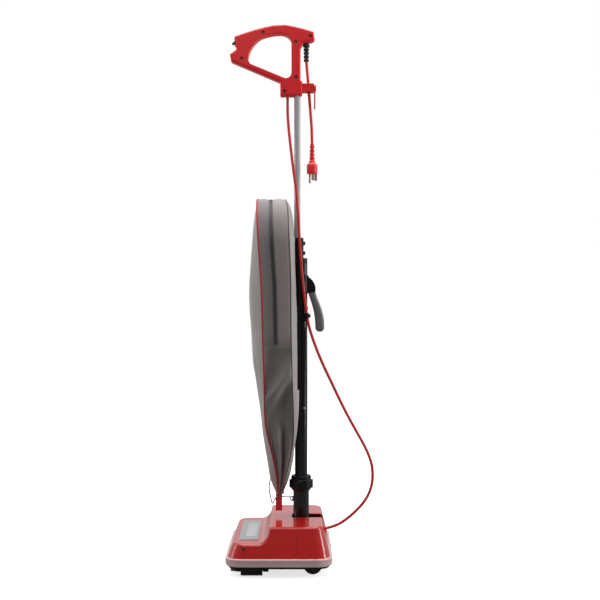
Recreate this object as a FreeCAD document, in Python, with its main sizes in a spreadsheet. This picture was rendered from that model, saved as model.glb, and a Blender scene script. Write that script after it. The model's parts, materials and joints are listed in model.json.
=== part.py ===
import FreeCAD, Part
import math
import os
import types

import Sketcher

# An upright vacuum cleaner with a cloth bag, standing on its wheels with the handle upright.
# Millimetres. +Z is up, -X is the front of the base and +X the user's side, -Y is its left side.
# The origin is on the floor, under the middle of the base.

Vector = FreeCAD.Vector
doc = FreeCAD.newDocument("upright_vacuum")
sheet = doc.addObject("Spreadsheet::Sheet", "Sizes")

DRIVING_SIZES = {
    # base: the skirt's outline, its levels and its walls
    "skirt_half_length": 110, "skirt_half_width": 150, "skirt_corner": 30,
    "bumper_reach": 5, "bumper_low": 24, "skirt_top": 41, "pan_low": 12, "pan_floor": 3,
    "shoulder_low": 19, "shoulder_front": -22, "shoulder_inside": 97,
    "housing_wall": 3, "hood_top": 70, "deck_top": 103, "deck_inset_side": 25,
    "deck_inset_front": 24, "deck_inset_back": 15, "deck_corner": 22,
    "hood_back": -42, "deck_front": -22, "slot_half": 21,
    # the axis that the handle leans on, and the motor's axis
    "pivot_x": 48, "pivot_z": 62, "motor_x": 15, "motor_z": 60,
    "drum_radius": 24, "drum_half": 24, "spout_radius": 18, "trunnion_radius": 8,
    "fan_radius": 36, "fan_inner_y": 52, "fan_outer_y": 98, "shell_wall": 2.5,
    "frame_radius": 35, "frame_near_y": 34, "frame_far_y": 104,
    "shaft_radius": 4, "bearing_radius": 11, "running_gap": 0.05, "clear_gap": 0.3,
    # brush roll, belt, wheels
    "roller_x": -72, "roller_z": 25.5, "roller_radius": 13, "bristle_radius": 22,
    "roller_half": 117, "journal_radius": 5, "belt_y": 106, "belt_width": 8,
    "pulley_radius": 6.5, "groove_radius": 11.5, "belt_thick": 2,
    "wheel_radius": 20, "wheel_x": 73, "wheel_y": 100, "wheel_width": 18, "axle_radius": 3,
    "front_wheel_radius": 9, "front_wheel_x": -28, "front_wheel_y": 54, "front_wheel_width": 12,
    "front_axle_radius": 2,
    # handle: duct, tubes and grip
    "riser_radius": 18, "riser_bore": 15.5, "collar_low": 161, "collar_step": 178,
    "collar_top": 195, "lug_radius": 27, "tube_radius": 14.2, "tube_wall": 1.2,
    "tube_low": 165, "tube_top": 676, "coupling_top": 734, "oval_x": 39.2, "oval_thick": 14.2,
    "oval_width": 20, "oval_top": 1090, "grip_half": 12.5, "grip_cavity": 9.8, "grip_round": 5,
    "cord_radius": 3.3,
    # cloth bag
    "bag_wall": 2.5, "tube_gap": 3.6,
}


class Size:
    """A number that remembers the sheet formula it comes from."""

    def __init__(self, number, formula):
        self.number = float(number)
        self.formula = formula

    def combined(self, sign, other, number):
        return Size(number, "(" + self.formula + sign + sized(other).formula + ")")

    def __add__(self, other):
        return self.combined(" + ", other, self.number + sized(other).number)

    def __sub__(self, other):
        return self.combined(" - ", other, self.number - sized(other).number)

    def __mul__(self, other):
        return self.combined(" * ", other, self.number * sized(other).number)

    def __truediv__(self, other):
        return self.combined(" / ", other, self.number / sized(other).number)

    def __radd__(self, other):
        return sized(other) + self

    def __rsub__(self, other):
        return sized(other) - self

    def __neg__(self):
        return self * -1

    def __float__(self):
        return self.number


def sized(amount):
    return amount if isinstance(amount, Size) else Size(amount, repr(float(amount)))


for row, (alias, amount) in enumerate(DRIVING_SIZES.items(), 1):
    sheet.set(f"A{row}", alias)
    sheet.set(f"B{row}", str(amount))
    sheet.setAlias(f"B{row}", alias)
doc.recompute()
d = types.SimpleNamespace(**{alias: Size(amount, "Sizes." + alias)
                             for alias, amount in DRIVING_SIZES.items()})

NODES = []
SIDES = {"left": -1, "right": 1}
TURNS = {
    "X": FreeCAD.Rotation(Vector(0, 1, 0), 90),
    "Y": FreeCAD.Rotation(Vector(1, 0, 0), -90),
    "Z": FreeCAD.Rotation(),
}


# ---- Part primitives and booleans ------------------------------------------------------------

def bind(item, **amounts):
    """Set properties of an object, tied to the sheet where the amount comes from it."""
    for name, amount in amounts.items():
        setattr(item, name, float(amount))
        if isinstance(amount, Size):
            item.setExpression(name, amount.formula)


def place(item, x, y, z, turn=FreeCAD.Rotation()):
    item.Placement = FreeCAD.Placement(Vector(float(x), float(y), float(z)), turn)
    for letter, amount in zip("xyz", (x, y, z)):
        if isinstance(amount, Size):
            item.setExpression("Placement.Base." + letter, amount.formula)


def rod(x, y, z, radius, length, axis="Z", name="rod"):
    """A cylinder that starts at a point and runs along +X, +Y or +Z."""
    item = doc.addObject("Part::Cylinder", name)
    bind(item, Radius=radius, Height=length)
    place(item, x, y, z, TURNS[axis])
    return item


def cone(x, y, z, radius, top_radius, length, axis="Z", name="cone"):
    item = doc.addObject("Part::Cone", name)
    bind(item, Radius1=radius, Radius2=top_radius, Height=length)
    place(item, x, y, z, TURNS[axis])
    return item


def block(x0, x1, y0, y1, z0, z1, name="block"):
    """A box between two corners."""
    item = doc.addObject("Part::Box", name)
    bind(item, Length=sized(x1) - x0, Width=sized(y1) - y0, Height=sized(z1) - z0)
    place(item, x0, y0, z0)
    return item


def join(name, *pieces):
    item = doc.addObject("Part::MultiFuse", name)
    item.Shapes = list(pieces)
    return item


def remove(name, base, *tools):
    item = doc.addObject("Part::Cut", name)
    item.Base = base
    item.Tool = tools[0] if len(tools) == 1 else join("tools", *tools)
    return item


def group(name, *pieces):
    """Separate solids that share one node."""
    item = doc.addObject("Part::Compound", name)
    item.Links = list(pieces)
    return item


def pipe(x, y, z, radius, bore, length, axis="Z", name="pipe"):
    outer = rod(x, y, z, radius, length, axis)
    return remove(name, outer, rod(x, y, z, bore, length, axis))


def node(item):
    """Keep an object as one sub-part of the machine."""
    NODES.append(item)
    return item


# ---- PartDesign bodies and their sketches ----------------------------------------------------

def new_body(name):
    return doc.addObject("PartDesign::Body", name)


def draw(body, plane, offset=0):
    """A sketch on one of the body's own origin planes, moved along the plane's normal."""
    sketch = body.newObject("Sketcher::SketchObject", "sketch")
    origin_planes = {item.Role: item for item in body.Origin.OriginFeatures}
    sketch.AttachmentSupport = (origin_planes[plane + "_Plane"], "")
    sketch.MapMode = "FlatFace"
    sketch.AttachmentOffset = FreeCAD.Placement(Vector(0, 0, float(offset)), FreeCAD.Rotation())
    if isinstance(offset, Size):
        sketch.setExpression("AttachmentOffset.Base.z", offset.formula)
    return sketch


def dimension(sketch, kind, where, amount):
    sketch.addConstraint(Sketcher.Constraint(kind, *where, float(amount)))
    if isinstance(amount, Size):
        sketch.setExpression(f"Constraints[{sketch.ConstraintCount - 1}]", amount.formula)


def pin_point(sketch, edge, end, x, y):
    dimension(sketch, "DistanceX", (edge, end), x)
    dimension(sketch, "DistanceY", (edge, end), y)


def circle(sketch, x, y, radius):
    edge = sketch.addGeometry(Part.Circle(Vector(float(x), float(y), 0), Vector(0, 0, 1),
                                          float(radius)), False)
    pin_point(sketch, edge, 3, x, y)
    dimension(sketch, "Radius", (edge,), radius)


def outline(sketch, corners, arcs=None):
    """A closed outline through corners; arcs gives a middle point for the rounded stretches."""
    arcs = arcs or {}
    spots = [Vector(float(x), float(y), 0) for x, y in corners]
    first = sketch.GeometryCount
    count = len(spots)
    for index, start in enumerate(spots):
        end = spots[(index + 1) % count]
        if index in arcs:
            middle = Vector(float(arcs[index][0]), float(arcs[index][1]), 0)
            turns_left = (middle - start).cross(end - start).z > 0
            low, high = (start, end) if turns_left else (end, start)
            sketch.addGeometry(Part.Arc(low, middle, high), False)
        else:
            sketch.addGeometry(Part.LineSegment(start, end), False)
    for index in range(count):
        edge = first + index
        following = first + (index + 1) % count
        start_end = ends_of(sketch, edge, spots[index])
        next_start = ends_of(sketch, following, spots[(index + 1) % count])[0]
        sketch.addConstraint(Sketcher.Constraint("Coincident", edge, start_end[1],
                                                 following, next_start))
        pin_point(sketch, edge, start_end[0], *corners[index])
        if index in arcs:
            dimension(sketch, "Radius", (edge,), sketch.Geometry[edge].Radius)


def ends_of(sketch, edge, start):
    """The numbers of an edge's first and last point, seen from the given start."""
    forward = sketch.Geometry[edge].StartPoint.distanceToPoint(start) < 1e-4
    return (1, 2) if forward else (2, 1)


def rounded_rectangle(sketch, x0, x1, y0, y1, radius):
    """Four lines and four tangent corner arcs."""
    x0, x1, y0, y1 = (sized(amount) for amount in (x0, x1, y0, y1))
    first = sketch.GeometryCount
    centres = [(x1 - radius, y1 - radius), (x0 + radius, y1 - radius),
               (x0 + radius, y0 + radius), (x1 - radius, y0 + radius)]
    reach = float(radius)
    for quarter, (x, y) in enumerate(centres):
        round_edge = Part.Circle(Vector(float(x), float(y), 0), Vector(0, 0, 1), reach)
        sketch.addGeometry(Part.ArcOfCircle(round_edge, quarter * math.pi / 2,
                                            (quarter + 1) * math.pi / 2), False)
    for quarter in range(4):
        start = sketch.Geometry[first + quarter].EndPoint
        end = sketch.Geometry[first + (quarter + 1) % 4].StartPoint
        sketch.addGeometry(Part.LineSegment(start, end), False)
    for quarter, (x, y) in enumerate(centres):
        line = first + 4 + quarter
        sketch.addConstraint(Sketcher.Constraint("Tangent", first + quarter, 2, line, 1))
        sketch.addConstraint(Sketcher.Constraint("Tangent", line, 2,
                                                 first + (quarter + 1) % 4, 1))
        pin_point(sketch, first + quarter, 3, x, y)
        dimension(sketch, "Radius", (first + quarter,), radius)


def grow(body, kind, sketch, amount, both=False, reverse=False):
    """Pad or Pocket a sketch by a length; both sides share the length equally."""
    feature = body.newObject("PartDesign::" + kind, kind.lower())
    feature.Profile = sketch
    feature.Reversed = reverse
    feature.Midplane = both
    bind(feature, Length=amount)
    return feature


def spin(body, kind, sketch, axis):
    """Revolution or Groove of a sketch about the sketch's own axis."""
    feature = body.newObject("PartDesign::" + kind, kind.lower())
    feature.Profile = sketch
    feature.ReferenceAxis = (sketch, [axis])
    feature.Angle = 360
    return feature


def ease(body, kind, amount, chosen):
    """Fillet or Chamfer of the edges that the test picks."""
    doc.recompute()
    edges = [f"Edge{number}" for number, edge in enumerate(body.Shape.Edges, 1) if chosen(edge)]
    base = body.Tip
    feature = body.newObject("PartDesign::" + kind, kind.lower())
    feature.Base = (base, edges)
    if kind == "Fillet":
        bind(feature, Radius=amount)
    else:
        bind(feature, Size=amount)
    return feature


def repeat_round(body, feature, axis, count):
    """Repeat a feature evenly round one of the body's origin axes."""
    pattern = body.newObject("PartDesign::PolarPattern", "pattern")
    origin_axes = {item.Role: item for item in body.Origin.OriginFeatures}
    pattern.Originals = [feature]
    pattern.Axis = (origin_axes[axis + "_Axis"], [""])
    pattern.Angle = 360
    pattern.Occurrences = count
    body.Tip = pattern
    return pattern


def spread(edge, letter):
    """The lowest and highest value of one coordinate along an edge."""
    box = edge.BoundBox
    return getattr(box, letter + "Min"), getattr(box, letter + "Max")


def at(edge, letter, amount, slack=0.01):
    low, high = spread(edge, letter)
    return abs(low - float(amount)) < slack and abs(high - float(amount)) < slack


def runs_along(edge, letter):
    """True for an edge that changes only one coordinate."""
    others = [other for other in "XYZ" if other != letter]
    return all(spread(edge, other)[1] - spread(edge, other)[0] < 0.01 for other in others)


# ---- Base ------------------------------------------------------------------------------------

def housing_form(name, inset):
    """The drafted cover as one solid; inset moves every wall inwards."""
    body = new_body(name)
    length = d.skirt_half_length - inset
    width = d.skirt_half_width - inset
    low = draw(body, "XY", d.skirt_top - (1 if float(inset) else 0))
    rounded_rectangle(low, -length, length, -width, width, d.skirt_corner - inset)
    high = draw(body, "XY", d.deck_top - inset)
    rounded_rectangle(high, d.deck_inset_front - length, length - d.deck_inset_back,
                      d.deck_inset_side - width, width - d.deck_inset_side,
                      d.deck_corner - inset)
    loft = body.newObject("PartDesign::AdditiveLoft", "loft")
    loft.Profile = low
    loft.Sections = [high]
    loft.Ruled = True
    # the low hood in front of the deck, joined to it by one hollow curve
    step = draw(body, "XZ")
    hood = d.hood_top - inset
    top = d.deck_top - inset
    outline(step, [(-d.skirt_half_length - 20, hood), (d.hood_back + inset, hood),
                   (d.deck_front + inset, top + 0.5), (d.deck_front + inset, top + 20),
                   (-d.skirt_half_length - 20, top + 20)],
            arcs={1: (d.hood_back + inset + 14, hood + 10.5)})
    grow(body, "Pocket", step, d.skirt_half_width * 2 + 20, both=True)
    ease(body, "Fillet", 6 - inset * 0.4, lambda edge: spread(edge, "Z")[0] > float(hood) - 0.1)
    return body


# where the cord goes through the sloping rear wall
CORD_ENTRY = (99.1, -60, 86)
REAR_DRAFT = math.degrees(math.atan2(float(d.deck_inset_back), float(d.deck_top - d.skirt_top)))


def tilted(item):
    """The item's turn followed by the rear wall's slope."""
    return FreeCAD.Rotation(Vector(0, 1, 0), -REAR_DRAFT) * item.Placement.Rotation


def make_upper_housing():
    outer = housing_form("housing_outside", 0)
    inner = housing_form("housing_inside", d.housing_wall)
    slot = block(d.pivot_x - d.slot_half, d.skirt_half_length + 10, -d.slot_half, d.slot_half,
                 46, d.deck_top + 5)
    draft = math.degrees(math.atan2(float(d.deck_inset_side), float(d.deck_top - d.skirt_top)))
    grooves = []
    for side in SIDES.values():
        groove = doc.addObject("Part::Box", "groove")
        bind(groove, Length=2.4, Width=2, Height=42)
        turn = FreeCAD.Rotation(Vector(1, 0, 0), side * draft)
        place(groove, 37, side * 149 - 1, 43, turn)
        grooves.append(groove)
    cord_hole = rod(0, 0, 0, 6.5, 30, "X")
    turn = tilted(cord_hole)
    inwards = turn.multVec(Vector(0, 0, -20))
    place(cord_hole, *(Vector(*CORD_ENTRY) + inwards), turn)
    screw_holes = [rod(-75, side * 141.5 - 4, 62, 1.6, 8, "Y") for side in SIDES.values()]
    return node(remove("upper_housing", outer, inner, slot, cord_hole, *grooves, *screw_holes))


def make_bumper():
    body = new_body("bumper_strip")
    ring = draw(body, "XY", d.bumper_low)
    reach = d.bumper_reach
    rounded_rectangle(ring, -d.skirt_half_length - reach, d.skirt_half_length + reach,
                      -d.skirt_half_width - reach, d.skirt_half_width + reach,
                      d.skirt_corner + reach)
    rounded_rectangle(ring, -d.skirt_half_length, d.skirt_half_length,
                      -d.skirt_half_width, d.skirt_half_width, d.skirt_corner)
    grow(body, "Pad", ring, d.skirt_top - d.bumper_low)
    outer_width = float(d.skirt_half_width + reach)
    outer_length = float(d.skirt_half_length + reach)

    def outermost(edge):
        flat = at(edge, "Z", d.bumper_low) or at(edge, "Z", d.skirt_top)
        middle = edge.valueAt((edge.FirstParameter + edge.LastParameter) / 2)
        corner = math.hypot(abs(middle.x) - outer_length + 35, abs(middle.y) - outer_width + 35)
        straight = abs(middle.x) > outer_length - 0.01 or abs(middle.y) > outer_width - 0.01
        return flat and (straight or abs(corner - 35) < 0.1)

    ease(body, "Fillet", 2.4, outermost)
    grooves = []
    for level in (32.6, 36.2):
        groove = new_body("bumper_groove")
        ring = draw(groove, "XY", level)
        for grown in (reach + 1, reach - 0.9):
            rounded_rectangle(ring, -d.skirt_half_length - grown, d.skirt_half_length + grown,
                              -d.skirt_half_width - grown, d.skirt_half_width + grown,
                              d.skirt_corner + grown)
        grow(groove, "Pad", ring, 1)
        grooves.append(groove)
    return node(remove("bumper", body, *grooves))


def make_lower_pan():
    body = new_body("pan_tray")
    plan = draw(body, "XY", d.pan_low)
    length = d.skirt_half_length
    width = d.skirt_half_width
    rounded_rectangle(plan, -length, length, -width, width, d.skirt_corner)
    grow(body, "Pad", plan, d.skirt_top - d.pan_low)
    ease(body, "Chamfer", 9, lambda edge: at(edge, "Z", d.pan_low))
    inside = draw(body, "XY", d.skirt_top)
    rounded_rectangle(inside, 10 - length, length - 10, 10 - width, width - 10, 20)
    grow(body, "Pocket", inside, d.skirt_top - d.pan_low - d.pan_floor)
    cuts = []
    ledges = []
    windows = [block(-97, -47, -123, 123, 0, 20)]
    supports = []
    for side in SIDES.values():
        # behind the brush chamber the tray's sides are a raised shoulder
        inside_y = d.shoulder_inside * side
        wall_y = inside_y + 3 * side
        rim_y = (d.skirt_half_width - 9) * side
        near, far = sorted((wall_y, (d.skirt_half_width + 1) * side), key=float)
        cuts.append(block(d.shoulder_front, length + 1, near, far, 0, d.shoulder_low))
        near, far = sorted((inside_y, rim_y), key=float)
        ledges.append(block(d.shoulder_front - 3, length - 9, near, far,
                            d.shoulder_low, d.shoulder_low + 2))
        ledges.append(block(d.shoulder_front - 3, d.shoulder_front, near, far,
                            d.pan_low + 1, d.shoulder_low + 2))
        near, far = sorted((inside_y, wall_y), key=float)
        ledges.append(block(d.shoulder_front - 3, length - 9, near, far,
                            d.pan_low, d.shoulder_low + 2))
        near, far = sorted((side * 133, side * 151))
        windows.append(block(-83, -33, near, far, 0, 22))
        near, far = sorted(((d.wheel_y - 2) * side, (d.wheel_y + d.wheel_width + 3) * side),
                           key=float)
        windows.append(block(50, 96, near, far, 0, 50))
        near, far = sorted((side * 52, side * 68))
        windows.append(block(-39, -17, near, far, 0, 20))
        windows.append(rod(-32, side * 100, 5, 3.05, 15))
        for reach, bottom in ((90, d.pan_low + 1), (121, d.shoulder_low)):
            near, far = sorted((side * reach, side * (reach + 8)))
            supports.append(block(67, 79, near, far, bottom, 27))
        for reach in (47.5, 68):
            near, far = sorted((side * reach, side * (reach + 4.5)))
            supports.append(block(-32, -24, near, far, 5, d.pan_low + 1))
    stepped = join("stepped_tray", remove("cut_tray", body, *cuts), *ledges)
    tray = join("tray_with_ribs", remove("open_tray", stepped, *windows), *supports)
    axles = [rod(d.wheel_x, -d.skirt_half_width + 10, d.wheel_radius, d.axle_radius, 280, "Y"),
             rod(d.front_wheel_x, -72.5, d.front_wheel_radius, d.front_axle_radius, 145, "Y")]
    return node(remove("lower_pan", tray, *axles))


def make_base_plate():
    body = new_body("base_plate")
    plan = draw(body, "XY", 10)
    rounded_rectangle(plan, -104, -41, -129, 129, 8)
    for opening in range(5):
        start = -121 + opening * 49
        rounded_rectangle(plan, -96, -48, start, start + 46, 3)
    grow(body, "Pad", plan, 2)
    return node(body)


def make_name_plate():
    body = new_body("name_plate")
    plan = draw(body, "XY", d.hood_top)
    rounded_rectangle(plan, -88, -46, -99, 99, 5)
    grow(body, "Pad", plan, 0.8)
    return node(body)


def make_housing_screws():
    """A short screw with a domed head on each side of the hood."""
    screws = []
    for side in SIDES.values():
        near = min(side * 137.5, side * 144.1)
        shank = rod(-75, near, 62, 1.6, 6.5, "Y")
        near = min(side * 143.1, side * 145.1)
        screws.append(join("screw", shank, rod(-75, near, 62, 3.2, 2, "Y")))
    return node(group("housing_screws", *screws))


def make_fan_housing():
    """The volute round the fan, with the spout that the handle's drum turns on."""
    depth = d.fan_outer_y - d.fan_inner_y
    outer = join("volute_outside",
                 rod(d.motor_x, -d.fan_outer_y, d.motor_z, d.fan_radius, depth, "Y"),
                 rod(d.pivot_x, -d.fan_outer_y, d.pivot_z, 20, depth, "Y"),
                 rod(d.pivot_x, -d.fan_inner_y, d.pivot_z, d.spout_radius,
                     d.fan_inner_y - 16.5, "Y"))
    wall = d.shell_wall
    hollow = join("volute_inside",
                  rod(d.motor_x, -d.fan_outer_y, d.motor_z, d.fan_radius - wall,
                      depth - wall, "Y"),
                  rod(d.pivot_x, -d.fan_outer_y, d.pivot_z, 20 - wall, depth - wall, "Y"),
                  rod(d.pivot_x, -d.fan_inner_y - 5, d.pivot_z, d.spout_radius - wall, 45, "Y"),
                  rod(d.motor_x, -60, d.motor_z, 6, 15, "Y"))
    foot = block(5, 25, -90, -70, d.pan_low + d.pan_floor, 30)
    foot_cut = rod(d.motor_x, -99, d.motor_z, d.fan_radius - 1, 60, "Y")
    return node(remove("fan_housing", join("volute", outer, remove("foot", foot, foot_cut)),
                       hollow))


def make_fan_cover():
    """The volute's open side, with the duct that brings air from the brush chamber."""
    face = d.fan_outer_y
    plate = join("cover_plate", rod(d.motor_x, -face - 3, d.motor_z, d.fan_radius, 3, "Y"),
                 rod(d.pivot_x, -face - 3, d.pivot_z, 20, 3, "Y"))
    duct = block(-46, 31, -face - 19, -face - 3, 28, 62)
    duct_hollow = block(-47, 29, -face - 17, -face - 3, 30, 60)
    eye = rod(d.motor_x, -face - 6, 46, 13, 8, "Y")
    return node(remove("fan_cover", join("cover_and_duct", plate, duct), duct_hollow, eye))


def make_motor():
    """Field, can, bearings, carbon brushes and rubber mounts of the motor."""
    near, far = d.frame_near_y, d.frame_far_y
    can = remove("motor_frame",
                 rod(d.motor_x, near, d.motor_z, d.frame_radius, far - near, "Y"),
                 rod(d.motor_x, near + 8, d.motor_z, d.frame_radius - 2, far - near - 16, "Y"),
                 rod(d.motor_x, near - 1, d.motor_z, d.bearing_radius, 80, "Y"))
    node(can)
    node(pipe(d.motor_x, 52, d.motor_z, d.frame_radius - 2, 23.6, 30, "Y", "motor_field"))
    bearings = []
    for start in (near, far - 7):
        bearings.append(pipe(d.motor_x, start, d.motor_z, d.bearing_radius,
                             d.shaft_radius + d.running_gap, 7, "Y"))
    node(group("motor_bearings", *bearings))
    carbons = []
    for low, high in ((12.4, 30), (-30, -12.4)):
        carbons.append(block(d.motor_x - 4, d.motor_x + 4, 86, 93,
                             d.motor_z + low, d.motor_z + high))
    node(group("carbon_brushes", *carbons))
    rings = []
    for start in (44, 86):
        ring = rod(d.motor_x, start, d.motor_z, d.frame_radius + 2.5, 9, "Y")
        foot = block(d.motor_x - 12, d.motor_x + 12, start, start + 9,
                     d.pan_low + d.pan_floor, 30)
        bore = rod(d.motor_x, start, d.motor_z, d.frame_radius, 9, "Y")
        rings.append(remove("mount", join("ring", ring, foot), bore))
    node(group("motor_mounts", *rings))


def make_rotor():
    """Shaft, wound armature with its commutator, fan and pulley, all on the motor's axis."""
    node(rod(d.motor_x, -94, d.motor_z, d.shaft_radius, 212, "Y", "motor_shaft"))
    core = rod(d.motor_x, 52, d.motor_z, 23, 30, "Y")
    commutator = rod(d.motor_x, 82, d.motor_z, 12, 12, "Y")
    bore = rod(d.motor_x, 50, d.motor_z, d.shaft_radius, 50, "Y")
    node(remove("armature", join("core", core, commutator), bore))

    fan = new_body("fan_impeller")
    disc = draw(fan, "XY")
    circle(disc, 0, 0, d.fan_radius - 5)
    circle(disc, 0, 0, d.shaft_radius)
    grow(fan, "Pad", disc, 2)
    blade = draw(fan, "XY", 2)
    outline(blade, [(6, -0.8), (d.fan_radius - 6, -9), (d.fan_radius - 6, -7), (6, 0.8)],
            arcs={0: (20, -2), 2: (20, -0.2)})
    vane = grow(fan, "Pad", blade, 24)
    repeat_round(fan, vane, "Z", 8)
    place(fan, d.motor_x, -60, d.motor_z, FreeCAD.Rotation(Vector(1, 0, 0), 90))
    node(fan)

    pulley = new_body("motor_pulley")
    profile = draw(pulley, "XZ")
    bore = d.shaft_radius
    rim = d.pulley_radius + 2
    last = d.belt_width + 3
    outline(profile, [(bore, 0), (rim, 0), (rim, 1), (d.pulley_radius, 1.5),
                      (d.pulley_radius, last - 1.5), (rim, last - 1), (rim, last), (bore, last)])
    spin(pulley, "Revolution", profile, "V_Axis")
    place(pulley, d.motor_x, d.belt_y - 1.5, d.motor_z, TURNS["Y"])
    node(pulley)


def make_brush_roll():
    body = new_body("brush_roller")
    profile = draw(body, "XZ")
    half = d.roller_half
    journal = d.journal_radius
    groove_low = d.belt_y - 1
    groove_high = d.belt_y + d.belt_width + 1
    outline(profile, [(0, -half - 8), (journal, -half - 8), (journal, -half),
                      (d.roller_radius, -half), (d.roller_radius, groove_low),
                      (d.groove_radius, groove_low), (d.groove_radius, groove_high),
                      (d.roller_radius, groove_high), (d.roller_radius, half),
                      (journal, half), (journal, half + 8), (0, half + 8)])
    spin(body, "Revolution", profile, "V_Axis")
    place(body, d.roller_x, 0, d.roller_z, TURNS["Y"])
    node(body)
    tufts = []
    for opening in range(5):
        start = -118 + opening * 49
        length = 40 if opening < 4 else 26
        for sign in SIDES.values():
            near, far = sorted((sign * (d.roller_radius - 0.5).number,
                                sign * d.bristle_radius.number))
            tufts.append(block(d.roller_x - 1.6, d.roller_x + 1.6, start, start + length,
                               d.roller_z + near, d.roller_z + far))
    core = rod(d.roller_x, -130, d.roller_z, d.roller_radius, 260, "Y")
    node(remove("brush_bristles", group("tufts", *tufts), core))
    for name, side in SIDES.items():
        near, far = sorted((side * 119, side * 127))
        cap = block(-83, -61, near, far, d.pan_low + d.pan_floor, 40)
        bore = rod(d.roller_x, near - 1, d.roller_z, journal + d.running_gap, 10, "Y")
        node(remove("brush_end_cap_" + name, cap, bore))


def belt_track(sketch, gap):
    """The line of a belt round the motor pulley and the brush roll, gap away from both."""
    big = d.groove_radius + gap
    small = d.pulley_radius + gap
    start = Vector(float(d.roller_x), float(d.roller_z), 0)
    end = Vector(float(d.motor_x), float(d.motor_z), 0)
    span = end - start
    lean = math.atan2(span.y, span.x)
    open_angle = math.acos((float(big) - float(small)) / span.Length)
    first = sketch.GeometryCount
    arcs = [(start, big, lean + open_angle, lean - open_angle + 2 * math.pi),
            (end, small, lean - open_angle, lean + open_angle)]
    for centre, radius, low, high in arcs:
        wheel = Part.Circle(centre, Vector(0, 0, 1), float(radius))
        sketch.addGeometry(Part.ArcOfCircle(wheel, low, high), False)
    ends = [(sketch.Geometry[first].EndPoint, sketch.Geometry[first + 1].StartPoint),
            (sketch.Geometry[first + 1].EndPoint, sketch.Geometry[first].StartPoint)]
    for low, high in ends:
        sketch.addGeometry(Part.LineSegment(low, high), False)
    for arc, line in ((first, first + 2), (first + 1, first + 3)):
        other = first + 1 if arc == first else first
        sketch.addConstraint(Sketcher.Constraint("Tangent", arc, 2, line, 1))
        sketch.addConstraint(Sketcher.Constraint("Tangent", line, 2, other, 1))
    pin_point(sketch, first, 3, d.roller_x, d.roller_z)
    dimension(sketch, "Radius", (first,), big)
    pin_point(sketch, first + 1, 3, d.motor_x, d.motor_z)
    dimension(sketch, "Radius", (first + 1,), small)


def make_belt():
    body = new_body("drive_belt")
    track = draw(body, "XZ", -d.belt_y - d.belt_width)
    belt_track(track, d.clear_gap + d.belt_thick)
    belt_track(track, d.clear_gap)
    grow(body, "Pad", track, d.belt_width)
    return node(body)


def make_wheels():
    kinds = {
        "rear_wheel_": (d.wheel_x, d.wheel_y, d.wheel_radius, d.wheel_width, d.axle_radius),
        "front_roller_": (d.front_wheel_x, d.front_wheel_y, d.front_wheel_radius,
                          d.front_wheel_width, d.front_axle_radius),
    }
    axles = []
    for kind, (x, reach, radius, width, axle) in kinds.items():
        for name, side in SIDES.items():
            body = new_body(kind + name)
            profile = draw(body, "XZ")
            bore = axle + d.running_gap
            rim = radius - 1.5
            half = width / 2
            outline(profile, [(bore, -half), (rim, -half), (radius, 1.5 - half),
                              (radius, half - 1.5), (rim, half), (bore, half)])
            spin(body, "Revolution", profile, "V_Axis")
            middle = (reach + half) * side
            place(body, x, middle, radius, TURNS["Y"])
            node(body)
            low = min(side * (reach.number - 6), side * (reach.number + width.number + 5))
            axles.append(rod(x, low, radius, axle, width + 11, "Y"))
    node(group("wheel_axles", *axles))


def make_base_fittings():
    """Pivot bracket, detent spring, edge brushes, cord grommet and base plate clips."""
    floor = d.pan_low + d.pan_floor
    bracket = block(d.pivot_x - 10, d.pivot_x + 10, 25, 31, floor, d.pivot_z + 11)
    bore = rod(d.pivot_x, 20, d.pivot_z, d.trunnion_radius + d.running_gap, 20, "Y")
    node(remove("pivot_bracket", bracket, bore))
    leaf_top = d.pivot_z - d.drum_radius - 0.4
    leaf = block(26, 84, -7, 7, leaf_top - 1.2, leaf_top)
    node(join("handle_detent", leaf, block(82.8, 84, -7, 7, floor, leaf_top)))
    for name, side in SIDES.items():
        near, far = sorted((side * 134, side * 146))
        holder = block(-82, -34, near, far, 13, 22)
        near, far = sorted((side * 137, side * 145.5))
        node(join("edge_brush_" + name, holder, block(-80.5, -35.5, near, far, 4.4, 13)))
    grommet = join("cord_grommet", pipe(-12, 0, 0, 6.5, d.cord_radius, 15, "X"),
                   pipe(0.3, 0, 0, 9, d.cord_radius, 2.7, "X"))
    place(grommet, *CORD_ENTRY, tilted(grommet))
    node(grommet)
    for name, side in SIDES.items():
        body = new_body("plate_clip_" + name)
        plan = draw(body, "XY", 7.6)
        rounded_rectangle(plan, -15, 8, -6, 6, 5.5)
        grow(body, "Pad", plan, 2.2)
        pin = draw(body, "XY", 9)
        circle(pin, 0, 0, 3)
        grow(body, "Pad", pin, 7)
        place(body, -32, side * 100, 0)
        node(body)


# ---- Handle ----------------------------------------------------------------------------------

def make_pivot_socket():
    """Drum that turns on the fan spout, and the duct that rises from it."""
    drum = rod(d.pivot_x, -d.drum_half, d.pivot_z, d.drum_radius, d.drum_half * 2, "Y")
    trunnion = rod(d.pivot_x, d.drum_half - 2, d.pivot_z, d.trunnion_radius, 10, "Y")
    riser = rod(d.pivot_x, 0, d.pivot_z, d.riser_radius, d.collar_step - d.pivot_z)
    knob = rod(28, 0, 104.5, 3.5, 6, "X")
    stem = block(d.pivot_x - d.riser_radius - 3, d.pivot_x - d.riser_radius + 2, -2, 2, 138, 147)
    solid = join("socket_solid", drum, trunnion, riser, knob, stem)
    side_bore = rod(d.pivot_x, -d.drum_half - 1, d.pivot_z, d.spout_radius + d.running_gap,
                    41, "Y")
    up_bore = rod(d.pivot_x, 0, d.pivot_z, d.riser_bore, 104)
    tube_seat = rod(d.pivot_x, 0, d.tube_low, d.tube_radius, 20)
    eye_hole = rod(d.pivot_x - d.riser_radius - 1.2, -3, 142.5, 1, 6, "Y")
    return node(remove("pivot_socket", solid, side_bore, up_bore, tube_seat, eye_hole))


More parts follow.
